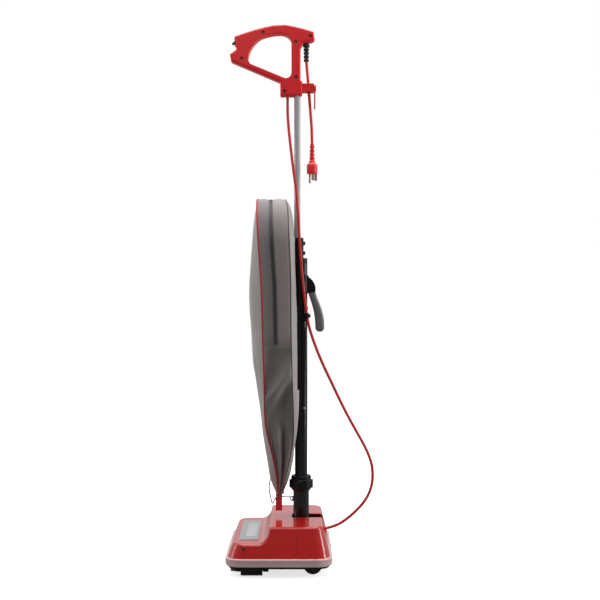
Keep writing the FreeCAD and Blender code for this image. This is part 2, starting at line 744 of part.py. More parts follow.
def make_lock_collar():
    body = new_body("lock_collar")
    profile = draw(body, "XZ")
    bore = d.riser_radius + d.running_gap
    throat = d.tube_radius + d.running_gap
    step = d.collar_step + d.clear_gap
    outline(profile, [(bore, d.collar_low), (20, d.collar_low), (23.5, d.collar_low + 5),
                      (24.8, d.collar_low + 8), (24.8, d.collar_top - 12),
                      (22.6, d.collar_top - 8), (22.4, d.collar_top - 2),
                      (20.8, d.collar_top), (throat, d.collar_top), (throat, step),
                      (bore, step)])
    spin(body, "Revolution", profile, "V_Axis")
    lug = draw(body, "XY", d.collar_low + 6)
    outline(lug, [(22, -6), (d.lug_radius - 0.6, -4.6), (d.lug_radius - 0.6, 4.6), (22, 6)],
            arcs={1: (d.lug_radius, 0)})
    ridge = grow(body, "Pad", lug, d.collar_top - d.collar_low - 16)
    repeat_round(body, ridge, "Z", 6)
    place(body, d.pivot_x, 0, 0)
    return node(body)


def make_tubes():
    node(pipe(d.pivot_x, 0, d.tube_low, d.tube_radius, d.tube_radius - d.tube_wall,
              d.tube_top - d.tube_low, "Z", "lower_tube"))
    body = new_body("upper_tube")
    section = draw(body, "XY", d.coupling_top)
    half = d.oval_thick / 2
    wide = d.oval_width / 2
    rounded_rectangle(section, d.oval_x - half, d.oval_x + half, -wide, wide, half - 0.1)
    wall = d.tube_wall
    rounded_rectangle(section, d.oval_x - half + wall, d.oval_x + half - wall,
                      wall - wide, wide - wall, half - wall - 0.1)
    grow(body, "Pad", section, d.oval_top - d.coupling_top)
    node(body)


def make_coupling():
    """Plug in the round tube, tongue in the oval tube, and two through bolts."""
    body = new_body("coupling_block")
    plan = draw(body, "XY", d.tube_top)
    rounded_rectangle(plan, 33.6, 53.4, -16, 16, 6)
    grow(body, "Pad", plan, d.coupling_top - d.tube_top)
    ease(body, "Fillet", 2, lambda edge: at(edge, "Z", d.coupling_top))
    plug = rod(d.pivot_x, 0, d.tube_top - 20, d.tube_radius - d.tube_wall, 21)
    shoulder = rod(d.pivot_x, 0, d.tube_top, d.tube_radius, 12)
    tongue = block(d.oval_x - 4.8, d.oval_x + 4.8, -5, 5, d.coupling_top - 5, d.coupling_top + 50)
    levels = (700, 722)
    shafts = [rod(30, 0, level, 2, 40, "X") for level in levels]
    node(remove("tube_coupling", join("coupling_solid", body, plug, shoulder, tongue), *shafts))
    bolts = []
    back = 53.4
    for level in levels:
        shaft = rod(31, 0, level, 2, back - 29, "X")
        knob = cone(back, 0, level, 5, 3.8, 4, "X")
        nut = rod(30.6, 0, level, 3.6, 3, "X")
        bolts.append(join("bolt", shaft, knob, nut))
    node(group("coupling_bolts", *bolts))


GRIP_OUTLINE = [(-101, 1191.5), (-16, 1216), (12, 1217.4), (76, 1201.5), (79, 1183.5),
                (74, 1180), (52, 1174), (46.8, 1164), (46.8, 1091), (50.8, 1088.5),
                (50.8, 1060), (46, 1055.3), (0.4, 1055.3), (0.4, 1086.5), (-111, 1134),
                (-114, 1150.5), (-99, 1161), (-101, 1171)]
GRIP_HOLE = [(-72.5, 1137), (-41, 1188.5), (-1, 1196.5), (26, 1180), (26, 1109),
             (11, 1096), (-67.5, 1128.5)]
GRIP_CAVITY = [(-94, 1166), (-94, 1184), (-15, 1211.5), (12, 1213), (69, 1197.5),
               (69, 1187), (50, 1180), (41, 1168), (41, 1091), (44, 1087), (44, 1061),
               (6, 1061), (6, 1086), (18, 1091), (30, 1106), (30, 1181), (20, 1193.5),
               (0, 1200), (-21, 1198.6), (-42, 1192), (-62, 1178), (-70, 1166.5)]
GRIP_SCREWS = [(-86.6, 1139.8), (-38.1, 1198.3), (35.8, 1177.7), (69.5, 1190.7),
               (36.3, 1097.8), (10.6, 1066)]


def in_hand_hole(edge):
    low_x, high_x = spread(edge, "X")
    low_z, high_z = spread(edge, "Z")
    return low_x > -73 and high_x < 28 and low_z > 1090 and high_z < 1198


def make_handle_shells():
    """Two half shells with the D-shaped hand hole, split in the middle."""
    for name, side in SIDES.items():
        body = new_body("grip_" + name)
        plan = draw(body, "XZ")
        outline(plan, GRIP_OUTLINE, arcs={0: (-60, 1205.2), 2: (45, 1210.6)})
        hole = [(x, z) for x, z in GRIP_HOLE]
        outline(plan, hole, arcs={0: (-59.5, 1172.5), 1: (-20, 1194.6), 2: (17.5, 1191),
                                  4: (22.3, 1100)})
        towards_user = side > 0
        grow(body, "Pad", plan, d.grip_half, reverse=towards_user)
        face = float(d.grip_half) * side
        ease(body, "Fillet", 3, lambda edge: runs_along(edge, "Y"))
        ease(body, "Fillet", d.grip_round,
             lambda edge: at(edge, "Y", face) and not in_hand_hole(edge))
        ease(body, "Fillet", 2, lambda edge: at(edge, "Y", face) and in_hand_hole(edge))
        inside = draw(body, "XZ")
        outline(inside, GRIP_CAVITY)
        grow(body, "Pocket", inside, d.grip_cavity, reverse=not towards_user)
        doc.recompute()
        near, far = sorted((0, side * 11))
        arm = block(50, 77, near, far, 1065.5, 1083.5)
        solid = join("grip_and_arm_" + name, body, arm)
        near, far = sorted((0, side * 20))
        half_oval = float(d.oval_thick) / 2
        tools = [block(d.oval_x - half_oval, d.oval_x + half_oval, -d.oval_width / 2,
                       d.oval_width / 2, 1050, d.oval_top + d.running_gap),
                 rod(17.4, -5, 1050, d.cord_radius, 12),
                 rod(59.8, 0, 1160, 5.5, 28),
                 rod(64.8, 0, 1060, 6, 40),
                 rod(72, 0, 1074.5, 4 + d.running_gap, 6, "X"),
                 block(-104, -93, -4, 4, 1174, 1189)]
        for x, z in GRIP_SCREWS:
            tools.append(rod(x, near, z, 1.6, far - near, "Y"))
            if side < 0:
                tools.append(rod(x, -13, z, 4, 6, "Y"))
        node(remove("handle_shell_" + name, solid, *tools))
    screws = []
    for x, z in GRIP_SCREWS:
        screws.append(join("screw", rod(x, -8, z, 1.6, 16, "Y"), rod(x, -9.4, z, 3.4, 2.4, "Y")))
    node(group("handle_screws", *screws))


def make_switch():
    """Bezel on the front face, body behind it, and the lever that tips up and down."""
    bezel = block(-103, -101, -8, 8, 1171, 1190.5)
    node(remove("switch_bezel", bezel, block(-104, -97, -4, 4, 1174, 1189)))
    body = block(-93.6, -78, -7, 7, 1167.5, 1183.4)
    mouth = block(-98, -91, -4, 4, 1176, 1185)
    node(remove("switch_body", body, mouth))
    lever = new_body("switch_lever")
    profile = draw(lever, "XZ")
    outline(profile, [(2.5, 2.6), (-2.5, 2.6), (-11, -4.6), (-9.6, -8.4), (2.5, -2.6)],
            arcs={2: (-11.4, -7), 4: (4, 0)})
    grow(lever, "Pad", profile, 6, both=True)
    place(lever, -97.5, 0, 1181.5)
    node(lever)


def make_strain_relief():
    body = new_body("strain_relief")
    profile = draw(body, "XZ")
    bore = d.cord_radius
    top, flange, foot, ribs = 1186, 1168.5, 1136, 4
    steps = [(5.5, top), (5.5, 1173.6), (7.6, 1173.2), (7.6, flange)]
    pitch = (flange - foot) / ribs
    for rib in range(ribs):
        high = flange - rib * pitch
        reach = 6.3 - rib * 0.1
        steps += [(reach - 2.2, high), (reach - 2.2, high - 3.2), (reach, high - 3.8),
                  (reach, high - pitch)]
    steps += [(bore, foot), (bore, top)]
    outline(profile, steps)
    spin(body, "Revolution", profile, "V_Axis")
    place(body, 59.8, 0, 0)
    return node(body)


def make_hooks():
    """The upper hook that swivels on the grip's arm, and the fixed lower hook on its mount."""
    upper = new_body("hook_plate")
    plan = draw(upper, "YZ")
    outline(plan, [(-7, 4), (-8, 0), (-7, -37), (0, -47.5), (7, -37), (8, 0), (7, 4), (0, 7)],
            arcs={2: (-5, -44.6), 3: (5, -44.6)})
    grow(upper, "Pad", plan, 3)
    place(upper, 77.3, 0, 1074.5)
    node(join("upper_cord_hook", upper, rod(72.5, 0, 1074.5, 4, 5.5, "X"),
              rod(77.3, 0, 1074.5, 8.6, 4.4, "X")))

    mount = new_body("hook_mount_block")
    side = draw(mount, "XZ")
    outline(side, [(58, 608), (80, 611), (70, 641), (58, 651)], arcs={1: (78.5, 629)})
    grow(mount, "Pad", side, 22, both=True)
    band = rod(d.pivot_x, 0, 611, d.tube_radius + 3, 38)
    tube_space = rod(d.pivot_x, 0, 600, d.tube_radius, 60)
    node(remove("lower_hook_mount", join("mount_solid", mount, band), tube_space))

    hook = new_body("lower_cord_hook")
    side = draw(hook, "XZ")
    outline(side, [(64, 608), (80, 611), (100.6, 545), (100.6, 531), (80, 531), (75, 571)],
            arcs={1: (92.5, 580), 3: (90.3, 519.6), 4: (79.4, 552), 5: (70.5, 590)})
    grow(hook, "Pad", side, 22, both=True)
    node(hook)


def make_cord_clip():
    """Band round the tube that holds the cord, and the bright clamp ring above it."""
    band = pipe(d.pivot_x, 0, 545, d.tube_radius + 3, d.tube_radius, 18)
    knob = rod(d.pivot_x + d.tube_radius + 2, 0, 562 - 5, 4, 5, "X")
    bore = rod(d.pivot_x, 0, 540, d.tube_radius, 40)
    cord_eye = pipe(60.6, -17.4, 552, 6, 4.6, 11)
    band_solid = remove("band_and_knob", join("clip_solid", band, knob, cord_eye), bore,
                        rod(60.6, -17.4, 540, 4.6, 40))
    ring = pipe(d.pivot_x, 0, 570, d.tube_radius + 1.6, d.tube_radius, 8)
    return node(group("cord_clip", band_solid, ring))


# ---- Cloth bag -------------------------------------------------------------------------------

# level, front, back and half width of the bag, from its tip up to its top
BAG_LEVELS = [(152, -6, 10, 8), (200, -23, 20, 36), (285, -37, 33, 76), (385, -50, 42, 108),
              (480, -65, 42, 118), (610, -70.5, 38, 118), (720, -64, 34, 118),
              (770, -58, 30, 106), (800, -53, 25, 80), (820, -49, 18, 44)]


def bag_form(name, inset):
    """Round-cornered sections from the tip to the top; inset moves the walls inwards."""
    body = new_body(name)
    sections = []
    for level, front, back, half in BAG_LEVELS:
        lift = inset if level == BAG_LEVELS[0][0] else 0
        drop = inset if level == BAG_LEVELS[-1][0] else 0
        section = draw(body, "XY", level + lift - drop)
        corner = min((back - front) * 0.42, half * 0.7) - inset
        rounded_rectangle(section, front + inset, back - inset, inset - half, half - inset,
                          corner)
        sections.append(section)
    loft = body.newObject("PartDesign::AdditiveLoft", "loft")
    loft.Profile = sections[0]
    loft.Sections = sections[1:]
    loft.Ruled = True
    return body


def make_bag():
    """Hollow cloth bag, the paper bag inside it, its zip slider and the strap at its tip."""
    front_of_tube = d.pivot_x - d.tube_radius - d.tube_gap
    side_gap = d.riser_radius + 2
    channel = block(front_of_tube, 60, -side_gap, side_gap, 100, 830)
    wall = d.bag_wall
    outer = remove("bag_outside", bag_form("bag_shape", 0), channel)
    inner_channel = block(front_of_tube - wall, 60, -side_gap - wall, side_gap + wall, 100, 830)
    inner = remove("bag_hollow", bag_form("bag_inner_shape", 2.5), inner_channel)
    strap_slot = block(-10, 5, -2, 2, 148, 156)
    node(remove("outer_bag", outer, inner, strap_slot))
    paper = new_body("paper_bag")
    plan = draw(paper, "XY", 430)
    rounded_rectangle(plan, -42, 22, -90, 90, 20)
    grow(paper, "Pad", plan, 330)
    node(paper)

    zip_lean = math.degrees(math.atan2(7.1, 180))
    slider = new_body("zipper_slider")
    plan = draw(slider, "XZ")
    rounded_rectangle(plan, -4, 4, -6, 6, 2.5)
    grow(slider, "Pad", plan, 3)
    tab = draw(slider, "XZ", 3)
    rounded_rectangle(tab, -2.5, 2.5, -20, 2, 1.5)
    grow(slider, "Pad", tab, 1.4)
    turn = FreeCAD.Rotation(Vector(0, 1, 0), -zip_lean) * FreeCAD.Rotation(Vector(0, 0, 1), 180)
    place(slider, -8, 118.3, 526, turn)
    node(slider)

    strap = new_body("bag_tail_strap")
    plan = draw(strap, "XZ")
    outline(plan, [(-9.8, 156), (-9.8, 121), (4.8, 121), (4.8, 156)], arcs={1: (-2.5, 114)})
    grow(strap, "Pad", plan, 3, both=True)
    node(strap)


# ---- Cords -----------------------------------------------------------------------------------

POWER_CORD = [(59.8, 0, 1140), (60.8, 0.3, 1124), (63.2, 0.6, 1098), (65.2, 0.6, 1070),
              (68, 0.2, 1034), (71.2, -0.4, 998), (72.6, -0.4, 968), (73, 0, 947)]

MOTOR_CORD = [(17.4, -5, 1060), (16.8, -5.6, 1032), (18.6, -8, 992), (23.6, -12.4, 944),
              (29.6, -17.4, 893), (36.4, -20.6, 845), (40.8, -21.8, 794), (43.4, -22.4, 744),
              (46.4, -22.4, 694), (50.4, -21.8, 646), (55, -20, 604), (60, -17.8, 565),
              (64, -16, 540)]
CORD_LOOP = [(64, -16, 540), (70.4, -14.6, 517), (80.4, -15, 488), (95, -17, 452),
             (115.5, -21, 409), (142.5, -28, 352), (168.5, -36, 304), (190.5, -43, 266),
             (204.5, -48, 232.5), (207.6, -52, 205), (204.4, -55, 178), (193, -58, 152),
             (172.5, -60, 128), (147, -60.4, 106), (124.5, -60.2, 92.2), (102.1, -60, 86.8)]


def cord_path(points):
    """Straight runs joined by tangent arcs, each as large as its two runs allow."""
    spots = [Vector(*point) for point in points]
    edges = []
    radii = []
    start = spots[0]
    for before, corner, after in zip(spots, spots[1:], spots[2:]):
        into = corner - before
        out = after - corner
        turn = into.getAngle(out)
        reach = 0.45 * min(into.Length, out.Length)
        radii.append(reach / math.tan(turn / 2))
        into.normalize()
        out.normalize()
        arc_start = corner - into * reach
        arc_end = corner + out * reach
        inward = out - into
        inward.normalize()
        bulge = radii[-1] * (1 / math.cos(turn / 2) - 1)
        edges.append(Part.LineSegment(start, arc_start).toShape())
        edges.append(Part.Arc(arc_start, corner + inward * bulge, arc_end).toShape())
        start = arc_end
    edges.append(Part.LineSegment(start, spots[-1]).toShape())
    return Part.Wire(edges), radii


def make_cord(name, points):
    """A round tube along the path, its radius read from the sheet."""
    path, radii = cord_path(points)
    radius = float(sheet.cord_radius)
    direction = Vector(*points[1]) - Vector(*points[0])
    ring = Part.Wire(Part.Circle(Vector(*points[0]), direction, radius).toShape())
    feature = doc.addObject("Part::Feature", name)
    feature.Shape = path.makePipeShell([ring], True, False)
    expected = math.pi * radius ** 2 * path.Length
    print(f"{name}: length {path.Length:.1f}, least radius {min(radii):.1f}, "
          f"volume ratio {feature.Shape.Volume / expected:.4f}")
    return node(feature)


def make_plug():
    """Moulded plug with a ribbed boot, and its three prongs."""
    body = new_body("plug_body")
    profile = draw(body, "XZ")
    bore = d.cord_radius
    steps = [(bore, 947), (4.8, 947)]
    for rib in range(4):
        high = 944.5 - rib * 8.6
        reach = 5.3 + rib * 0.25
        steps += [(reach - 1.6, high), (reach, high - 0.9), (reach, high - 5.4),
                  (reach - 1.6, high - 6.3)]
    steps += [(7, 909), (7.8, 905), (11.6, 901), (12.3, 897), (12.3, 884), (11.4, 880.3), (0, 880.3),
              (0, 941), (bore, 941)]
    outline(profile, steps)
    spin(body, "Revolution", profile, "V_Axis")
    place(body, 73, 0, 0)
    node(body)
    prongs = []
    turn = FreeCAD.Rotation(Vector(0, 0, 1), 57.5)
    for x, y in ((74.5, -5.3), (81.3, 5.3)):
        blade = doc.addObject("Part::Box", "blade")
        bind(blade, Length=1.5, Width=6.3, Height=15.3)
        offset = turn.multVec(Vector(-0.75, -3.15, 0))
        place(blade, x + offset.x, y + offset.y, 865, turn)
        prongs.append(blade)
    prongs.append(rod(67.9, 6.2, 860, 2.4, 20.3))
    return node(group("plug_prongs", *prongs))


make_upper_housing()
make_bumper()
make_lower_pan()
make_base_plate()
make_name_plate()
make_housing_screws()
make_fan_housing()
make_fan_cover()
make_motor()
make_rotor()
make_brush_roll()
make_belt()
make_wheels()
make_base_fittings()
make_pivot_socket()
make_lock_collar()
make_tubes()
make_coupling()
make_handle_shells()
make_switch()
make_strain_relief()
make_hooks()
make_cord_clip()
make_bag()
make_cord("power_cord", POWER_CORD)
make_cord("motor_cord", MOTOR_CORD)
make_cord("motor_cord_loop", CORD_LOOP)
make_plug()

doc.recompute()
faults = [f"{item.Name}: {item.State}" for item in doc.Objects
          if {"Invalid", "Error"} & set(item.State)]
for item in NODES:
    if item.Shape.isNull() or not item.Shape.isValid() or not item.Shape.Solids:
        faults.append(f"{item.Label}: no valid solid")
if faults:
    raise RuntimeError("; ".join(faults))

os.makedirs("parts", exist_ok=True)
for item in NODES:
    item.Shape.exportStep(f"parts/{item.Label}.step")
print(len(NODES), "sub-parts written")
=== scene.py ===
import json
import math

import bpy
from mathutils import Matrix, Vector, noise


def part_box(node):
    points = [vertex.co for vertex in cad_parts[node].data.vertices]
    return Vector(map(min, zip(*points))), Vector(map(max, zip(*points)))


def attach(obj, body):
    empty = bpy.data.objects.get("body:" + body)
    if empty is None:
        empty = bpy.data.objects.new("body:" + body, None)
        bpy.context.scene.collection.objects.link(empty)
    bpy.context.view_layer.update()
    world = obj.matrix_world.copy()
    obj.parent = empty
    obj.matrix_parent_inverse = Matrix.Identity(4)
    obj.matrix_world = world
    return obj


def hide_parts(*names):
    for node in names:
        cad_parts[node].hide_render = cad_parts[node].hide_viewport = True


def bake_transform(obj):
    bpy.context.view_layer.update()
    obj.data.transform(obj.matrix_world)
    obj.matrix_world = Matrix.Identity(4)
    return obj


# An upright vacuum cleaner with a cloth bag. Metres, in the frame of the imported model:
# +Z is up, -X is the front of the base, -Y is the side that faces the camera.

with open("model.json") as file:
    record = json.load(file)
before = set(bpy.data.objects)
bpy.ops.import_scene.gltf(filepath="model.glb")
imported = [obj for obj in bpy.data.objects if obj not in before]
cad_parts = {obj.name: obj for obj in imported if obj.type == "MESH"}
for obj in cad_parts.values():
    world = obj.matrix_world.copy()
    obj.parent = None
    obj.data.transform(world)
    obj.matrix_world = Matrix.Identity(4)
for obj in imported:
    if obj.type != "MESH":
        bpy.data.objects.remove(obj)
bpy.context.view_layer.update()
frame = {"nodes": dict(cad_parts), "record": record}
NODES = frame["nodes"]
MM = 0.001


# ---- Camera, light and floor

def set_camera():
    """A level camera straight at the machine's side."""
    data = bpy.data.cameras.new("side_camera")
    data.lens = 58.0
    data.sensor_width = 36.0
    data.shift_y = 0.025
    camera = bpy.data.objects.new("side_camera", data)
    camera.location = (0.0454, -2.2, 0.559)
    camera.rotation_euler = (math.radians(90), 0, 0)
    bpy.context.scene.collection.objects.link(camera)
    bpy.context.scene.camera = camera


def add_light(name, place, target, size, power, size_y=None):
    data = bpy.data.lights.new(name, "AREA")
    data.energy = power
    data.size = size
    if size_y:
        data.shape = "RECTANGLE"
        data.size_y = size_y
    light = bpy.data.objects.new(name, data)
    light.location = place
    light.rotation_euler = (Vector(target) - Vector(place)).to_track_quat("-Z", "Y").to_euler()
    bpy.context.scene.collection.objects.link(light)


def set_studio():
    """White backdrop; the light is bright from above and both ends, weak from the -Y side."""
    world = bpy.data.worlds.new("studio")
    world.use_nodes = True
    tree = world.node_tree
    light = tree.nodes["Background"]
    light.inputs["Color"].default_value = (1, 1, 1, 1)
    backdrop = tree.nodes.new("ShaderNodeBackground")
    backdrop.inputs["Color"].default_value = (1, 1, 1, 1)
    direction = tree.nodes.new("ShaderNodeTexCoord")
    parts = tree.nodes.new("ShaderNodeSeparateXYZ")
    range_map = tree.nodes.new("ShaderNodeMapRange")
    for socket, value in (("From Min", -1.0), ("From Max", 0.3), ("To Min", 0.06),
                          ("To Max", 0.62)):
        range_map.inputs[socket].default_value = value
    path = tree.nodes.new("ShaderNodeLightPath")
    mix = tree.nodes.new("ShaderNodeMixShader")
    tree.links.new(direction.outputs["Generated"], parts.inputs["Vector"])
    tree.links.new(parts.outputs["Y"], range_map.inputs["Value"])
    tree.links.new(range_map.outputs["Result"], light.inputs["Strength"])
    tree.links.new(path.outputs["Is Camera Ray"], mix.inputs["Fac"])
    tree.links.new(light.outputs["Background"], mix.inputs[1])
    tree.links.new(backdrop.outputs["Background"], mix.inputs[2])
    tree.links.new(mix.outputs["Shader"], tree.nodes["World Output"].inputs["Surface"])
    bpy.context.scene.world = world
    bpy.context.scene.view_settings.view_transform = "Standard"
    add_light("top_light", (0, 0.35, 3.0), (0, 0.1, 0.4), 2.6, 78)
    add_light("front_light", (-2.4, 0.1, 1.3), (0, 0, 0.6), 0.7, 13, 2.2)
    add_light("user_light", (2.3, -0.35, 1.1), (0, 0, 0.6), 0.35, 26, 2.2)
    add_light("grip_light", (-0.5, -1.9, 2.3), (0, 0, 1.15), 0.8, 9)


def add_floor(finish):
    bpy.ops.mesh.primitive_plane_add(size=14, location=(0, 0, 0))
    floor = bpy.context.object
    floor.name = "studio_floor"
    floor.data.materials.append(finish.material)


# ---- Materials

class Socket:
    """A node's output; arithmetic on it adds Math nodes to the same material."""

    def __init__(self, finish, output):
        self.finish = finish
        self.output = output

    def math(self, operation, *values):
        return self.finish.node("ShaderNodeMath", {"operation": operation}, *values)

    def __add__(self, other):
        return self.math("ADD", self, other)

    def __sub__(self, other):
        return self.math("SUBTRACT", self, other)

    def __mul__(self, other):
        return self.math("MULTIPLY", self, other)

    __radd__ = __add__
    __rmul__ = __mul__

    def clamp(self):
        return self.finish.node("ShaderNodeClamp", {}, self)


class Finish:
    """A material built from its shader's constants and a few patterns."""

    def __init__(self, name, color, roughness, metallic=0.0, coat=0.0, **constants):
        self.material = bpy.data.materials.new(name)
        self.material.use_nodes = True
        self.tree = self.material.node_tree
        self.shader = self.tree.nodes["Principled BSDF"]
        self.color = tuple(color) + (1.0,)
        self.shader.inputs["Base Color"].default_value = self.color
        self.shader.inputs["Roughness"].default_value = roughness
        self.shader.inputs["Metallic"].default_value = metallic
        self.shader.inputs["Coat Weight"].default_value = coat
        self.material.diffuse_color = self.color
        for socket, value in constants.items():
            self.shader.inputs[socket.replace("_", " ")].default_value = value

    def node(self, kind, settings, *values, **named):
        """Any node: settings first, then the values or links of its sockets."""
        made = self.tree.nodes.new(kind)
        for key, value in settings.items():
            setattr(made, key, value)
        sockets = list(enumerate(values)) + list(named.items())
        for key, value in sockets:
            socket = made.inputs[key.replace("_", " ") if isinstance(key, str) else key]
            if isinstance(value, Socket):
                self.tree.links.new(value.output, socket)
            else:
                socket.default_value = value
        output = next(item for item in made.outputs if item.enabled)
        return Socket(self, output)

    def place(self, kind="Object"):
        made = self.tree.nodes.new("ShaderNodeTexCoord")
        return Socket(self, made.outputs[kind])

    def stretched(self, scale, kind="Object"):
        return self.node("ShaderNodeMapping", {}, self.place(kind), Scale=scale)

    def noise(self, where, scale, detail=3.0):
        return self.node("ShaderNodeTexNoise", {}, Vector=where, Scale=scale, Detail=detail)

    def blend(self, factor, first, second):
        """A colour between two colours."""
        mixed = self.node("ShaderNodeMix", {"data_type": "RGBA"})
        made = mixed.output.node
        sockets = {item.identifier: item for item in made.inputs}
        self.tree.links.new(factor.output, sockets["Factor_Float"])
        for name, color in (("A_Color", first), ("B_Color", second)):
            sockets[name].default_value = tuple(color) + (1.0,)
        mixed.output = next(item for item in made.outputs if item.identifier == "Result_Color")
        return mixed

    def feed(self, socket, value):
        self.tree.links.new(value.output, self.shader.inputs[socket])

    def bump(self, height, strength, distance):
        made = self.node("ShaderNodeBump", {}, Strength=strength, Distance=distance,
                         Height=height)
        self.feed("Normal", made)


def moulded(name, color, roughness, coat, grain, patch=0.12, bump=0.03, **constants):
    """Moulded plastic: faint flow patches, fine grain and a slightly uneven gloss."""
    finish = Finish(name, color, roughness, coat=coat, **constants)
    flow = finish.noise(finish.place(), 9.0, 2.0)
    fine = finish.noise(finish.place(), grain, 4.0)
    darker = [channel * (1 - patch) for channel in color]
    lighter = [min(1.0, channel * (1 + patch)) for channel in color]
    finish.feed("Base Color", finish.blend(flow, darker, lighter))
    finish.feed("Roughness", fine * 0.1 + flow * 0.06 + (roughness - 0.08))
    finish.bump(fine, bump, 0.0004)
    return finish


def brushed(name, color, roughness, scale=(900, 900, 12)):
    """Drawn or turned metal: fine lines along the tube."""
    finish = Finish(name, color, roughness, metallic=1.0)
    lines = finish.noise(finish.stretched(scale), 1.0, 3.0)
    smudge = finish.noise(finish.place(), 14.0, 3.0)
    darker = [channel * 0.82 for channel in color]
    finish.feed("Base Color", finish.blend(lines, darker, color))
    finish.feed("Roughness", lines * 0.14 + smudge * 0.12 + (roughness - 0.13))
    finish.bump(lines, 0.12, 0.0002)
    return finish


def woven(name, color, thread, sheen=0.35, contrast=0.3, kind="UV"):
    """Plain weave: crossing threads with soft, uneven heather."""
    finish = Finish(name, color, 0.86, Sheen_Weight=sheen, Sheen_Roughness=0.5)
    count = 1.0 / thread
    warp, weft = [
        finish.node("ShaderNodeTexWave", {"wave_type": "BANDS", "bands_direction": direction},
                    Vector=finish.stretched((count, count, count), kind), Scale=0.5,
                    Distortion=0.6, Detail=1.0)
        for direction in ("X", "Y")]
    threads = warp.math("MAXIMUM", warp, weft)
    heather = finish.noise(finish.stretched((700, 700, 160), "Object"), 1.0, 3.0)
    patches = finish.noise(finish.place(), 7.0, 3.0)
    mottle = (heather * 0.5 + threads * 0.3 + patches * 0.4 - 0.1).clamp()
    darker = [channel * (1 - contrast) for channel in color]
    lighter = [min(1.0, channel * (1 + contrast)) for channel in color]
    finish.feed("Base Color", finish.blend(mottle, darker, lighter))
    finish.feed("Roughness", threads * 0.1 + 0.78)
    finish.bump(threads * 0.7 + heather * 0.5, 0.35, 0.0005)
    return finish


def rubbery(name, color, roughness=0.6, grain=420.0):
    """Soft rubber or cable jacket: dusty patches and a fine pebble."""
    finish = Finish(name, color, roughness)
    dust = finish.noise(finish.place(), 22.0, 4.0)
    pebble = finish.noise(finish.place(), grain, 2.0)
    lighter = [min(1.0, channel * 1.25 + 0.012) for channel in color]
    finish.feed("Base Color", finish.blend(dust, color, lighter))
    finish.feed("Roughness", dust * 0.2 + (roughness - 0.1))
    finish.bump(pebble, 0.12, 0.0004)
    return finish


def make_finishes():
    return {
        # housing and grip are one red plastic; the housing's copy is darker: painted shade on the
        # base
        "red_gloss": moulded("housing_red_painted_shade", (0.50, 0.012, 0.011), 0.2, 0.5, 260.0, patch=0.06,
                             bump=0.015),
        "grip_red": moulded("grip_red", (0.88, 0.020, 0.024), 0.36, 0.1, 300.0, patch=0.06,
                            Specular_IOR_Level=0.35),
        "vinyl_bumper": moulded("cloudy_vinyl", (0.74, 0.47, 0.48), 0.35, 0.2, 200.0, patch=0.1,
                                Subsurface_Weight=0.25),
        "black_plastic": moulded("satin_black", (0.007, 0.007, 0.008), 0.36, 0.0, 420.0,
                                 bump=0.05, Specular_IOR_Level=0.25),
        "black_gloss": moulded("gloss_black", (0.006, 0.006, 0.007), 0.16, 0.25, 240.0,
                               bump=0.012, Specular_IOR_Level=0.3),
        "grey_plastic": moulded("grey_nylon", (0.20, 0.20, 0.205), 0.45, 0.0, 350.0),
        "silver_tube": moulded("silver_tube_paint", (0.50, 0.50, 0.505), 0.5, 0.0, 500.0,
                               patch=0.04, bump=0.02, Metallic=0.25),
        "steel": brushed("bright_steel", (0.55, 0.55, 0.56), 0.3),
        "label_silver": brushed("label_silver", (0.62, 0.63, 0.65), 0.32, (14, 900, 900)),
        "iron": brushed("laminated_iron", (0.18, 0.18, 0.19), 0.5, (40, 1800, 40)),
        "copper": brushed("copper_winding", (0.62, 0.28, 0.13), 0.38, (60, 1400, 60)),
        "prong_metal": brushed("prong_nickel", (0.66, 0.62, 0.52), 0.28),
        "zip_metal": brushed("dark_zip_metal", (0.16, 0.16, 0.165), 0.45),
        "carbon": rubbery("carbon_block", (0.03, 0.03, 0.03), 0.55),
        "rubber": rubbery("black_rubber", (0.014, 0.014, 0.015), 0.55),
        "belt_rubber": rubbery("belt_rubber", (0.02, 0.02, 0.02), 0.7),
        "wheel_grey": rubbery("wheel_rubber", (0.022, 0.022, 0.024), 0.6),
        "bristle": rubbery("nylon_bristle", (0.012, 0.012, 0.013), 0.5, 900.0),
        "red_cord": rubbery("red_cord_jacket", (0.82, 0.030, 0.030), 0.36, 600.0),
        # a darker copy of the red cord for the motor lead: painted shade
        "motor_lead": rubbery("red_cord_painted_shade", (0.56, 0.020, 0.018), 0.34, 600.0),
        "bag_cloth": woven("bag_cloth", (0.34, 0.298, 0.285), 0.0011),
        "paper": woven("filter_paper", (0.72, 0.66, 0.55), 0.002, 0.1, 0.1, "Object"),
        "red_webbing": woven("red_webbing", (0.90, 0.030, 0.034), 0.0012, 0.1, 0.25, "Object"),
        # a darker copy of the bag cloth: painted shade for the front part of each side strip and
        # the lower side strip
        "bag_shade": woven("bag_cloth_painted_shade", (0.235, 0.215, 0.212), 0.0011),
        "thread": rubbery("bag_thread", (0.46, 0.43, 0.42), 0.7),
        "red_thread": rubbery("strap_thread", (0.30, 0.006, 0.008), 0.6),
        "tie": rubbery("tie_cord", (0.30, 0.15, 0.16), 0.5, 900.0),
        "inlay_silver": brushed("inlay_silver", (0.80, 0.81, 0.83), 0.36, (14, 900, 900)),
        # dark steel for the screws sunk in grip and housing: painted shade of their recesses
        "screw_dark": brushed("steel_screw_painted_shade", (0.10, 0.09, 0.09), 0.4),
        "clip_grey": brushed("strip_clip", (0.33, 0.33, 0.34), 0.4, (900, 14, 900)),
        "hook_gloss": moulded("hook_gloss", (0.16, 0.16, 0.165), 0.34, 0.2, 240.0, bump=0.01),
        "piping": woven("red_piping", (0.40, 0.045, 0.045), 0.0009, 0.2, 0.2, "Object"),
        "zip_tape": woven("zip_tape", (0.085, 0.082, 0.084), 0.0008, 0.2, 0.3, "Object")}


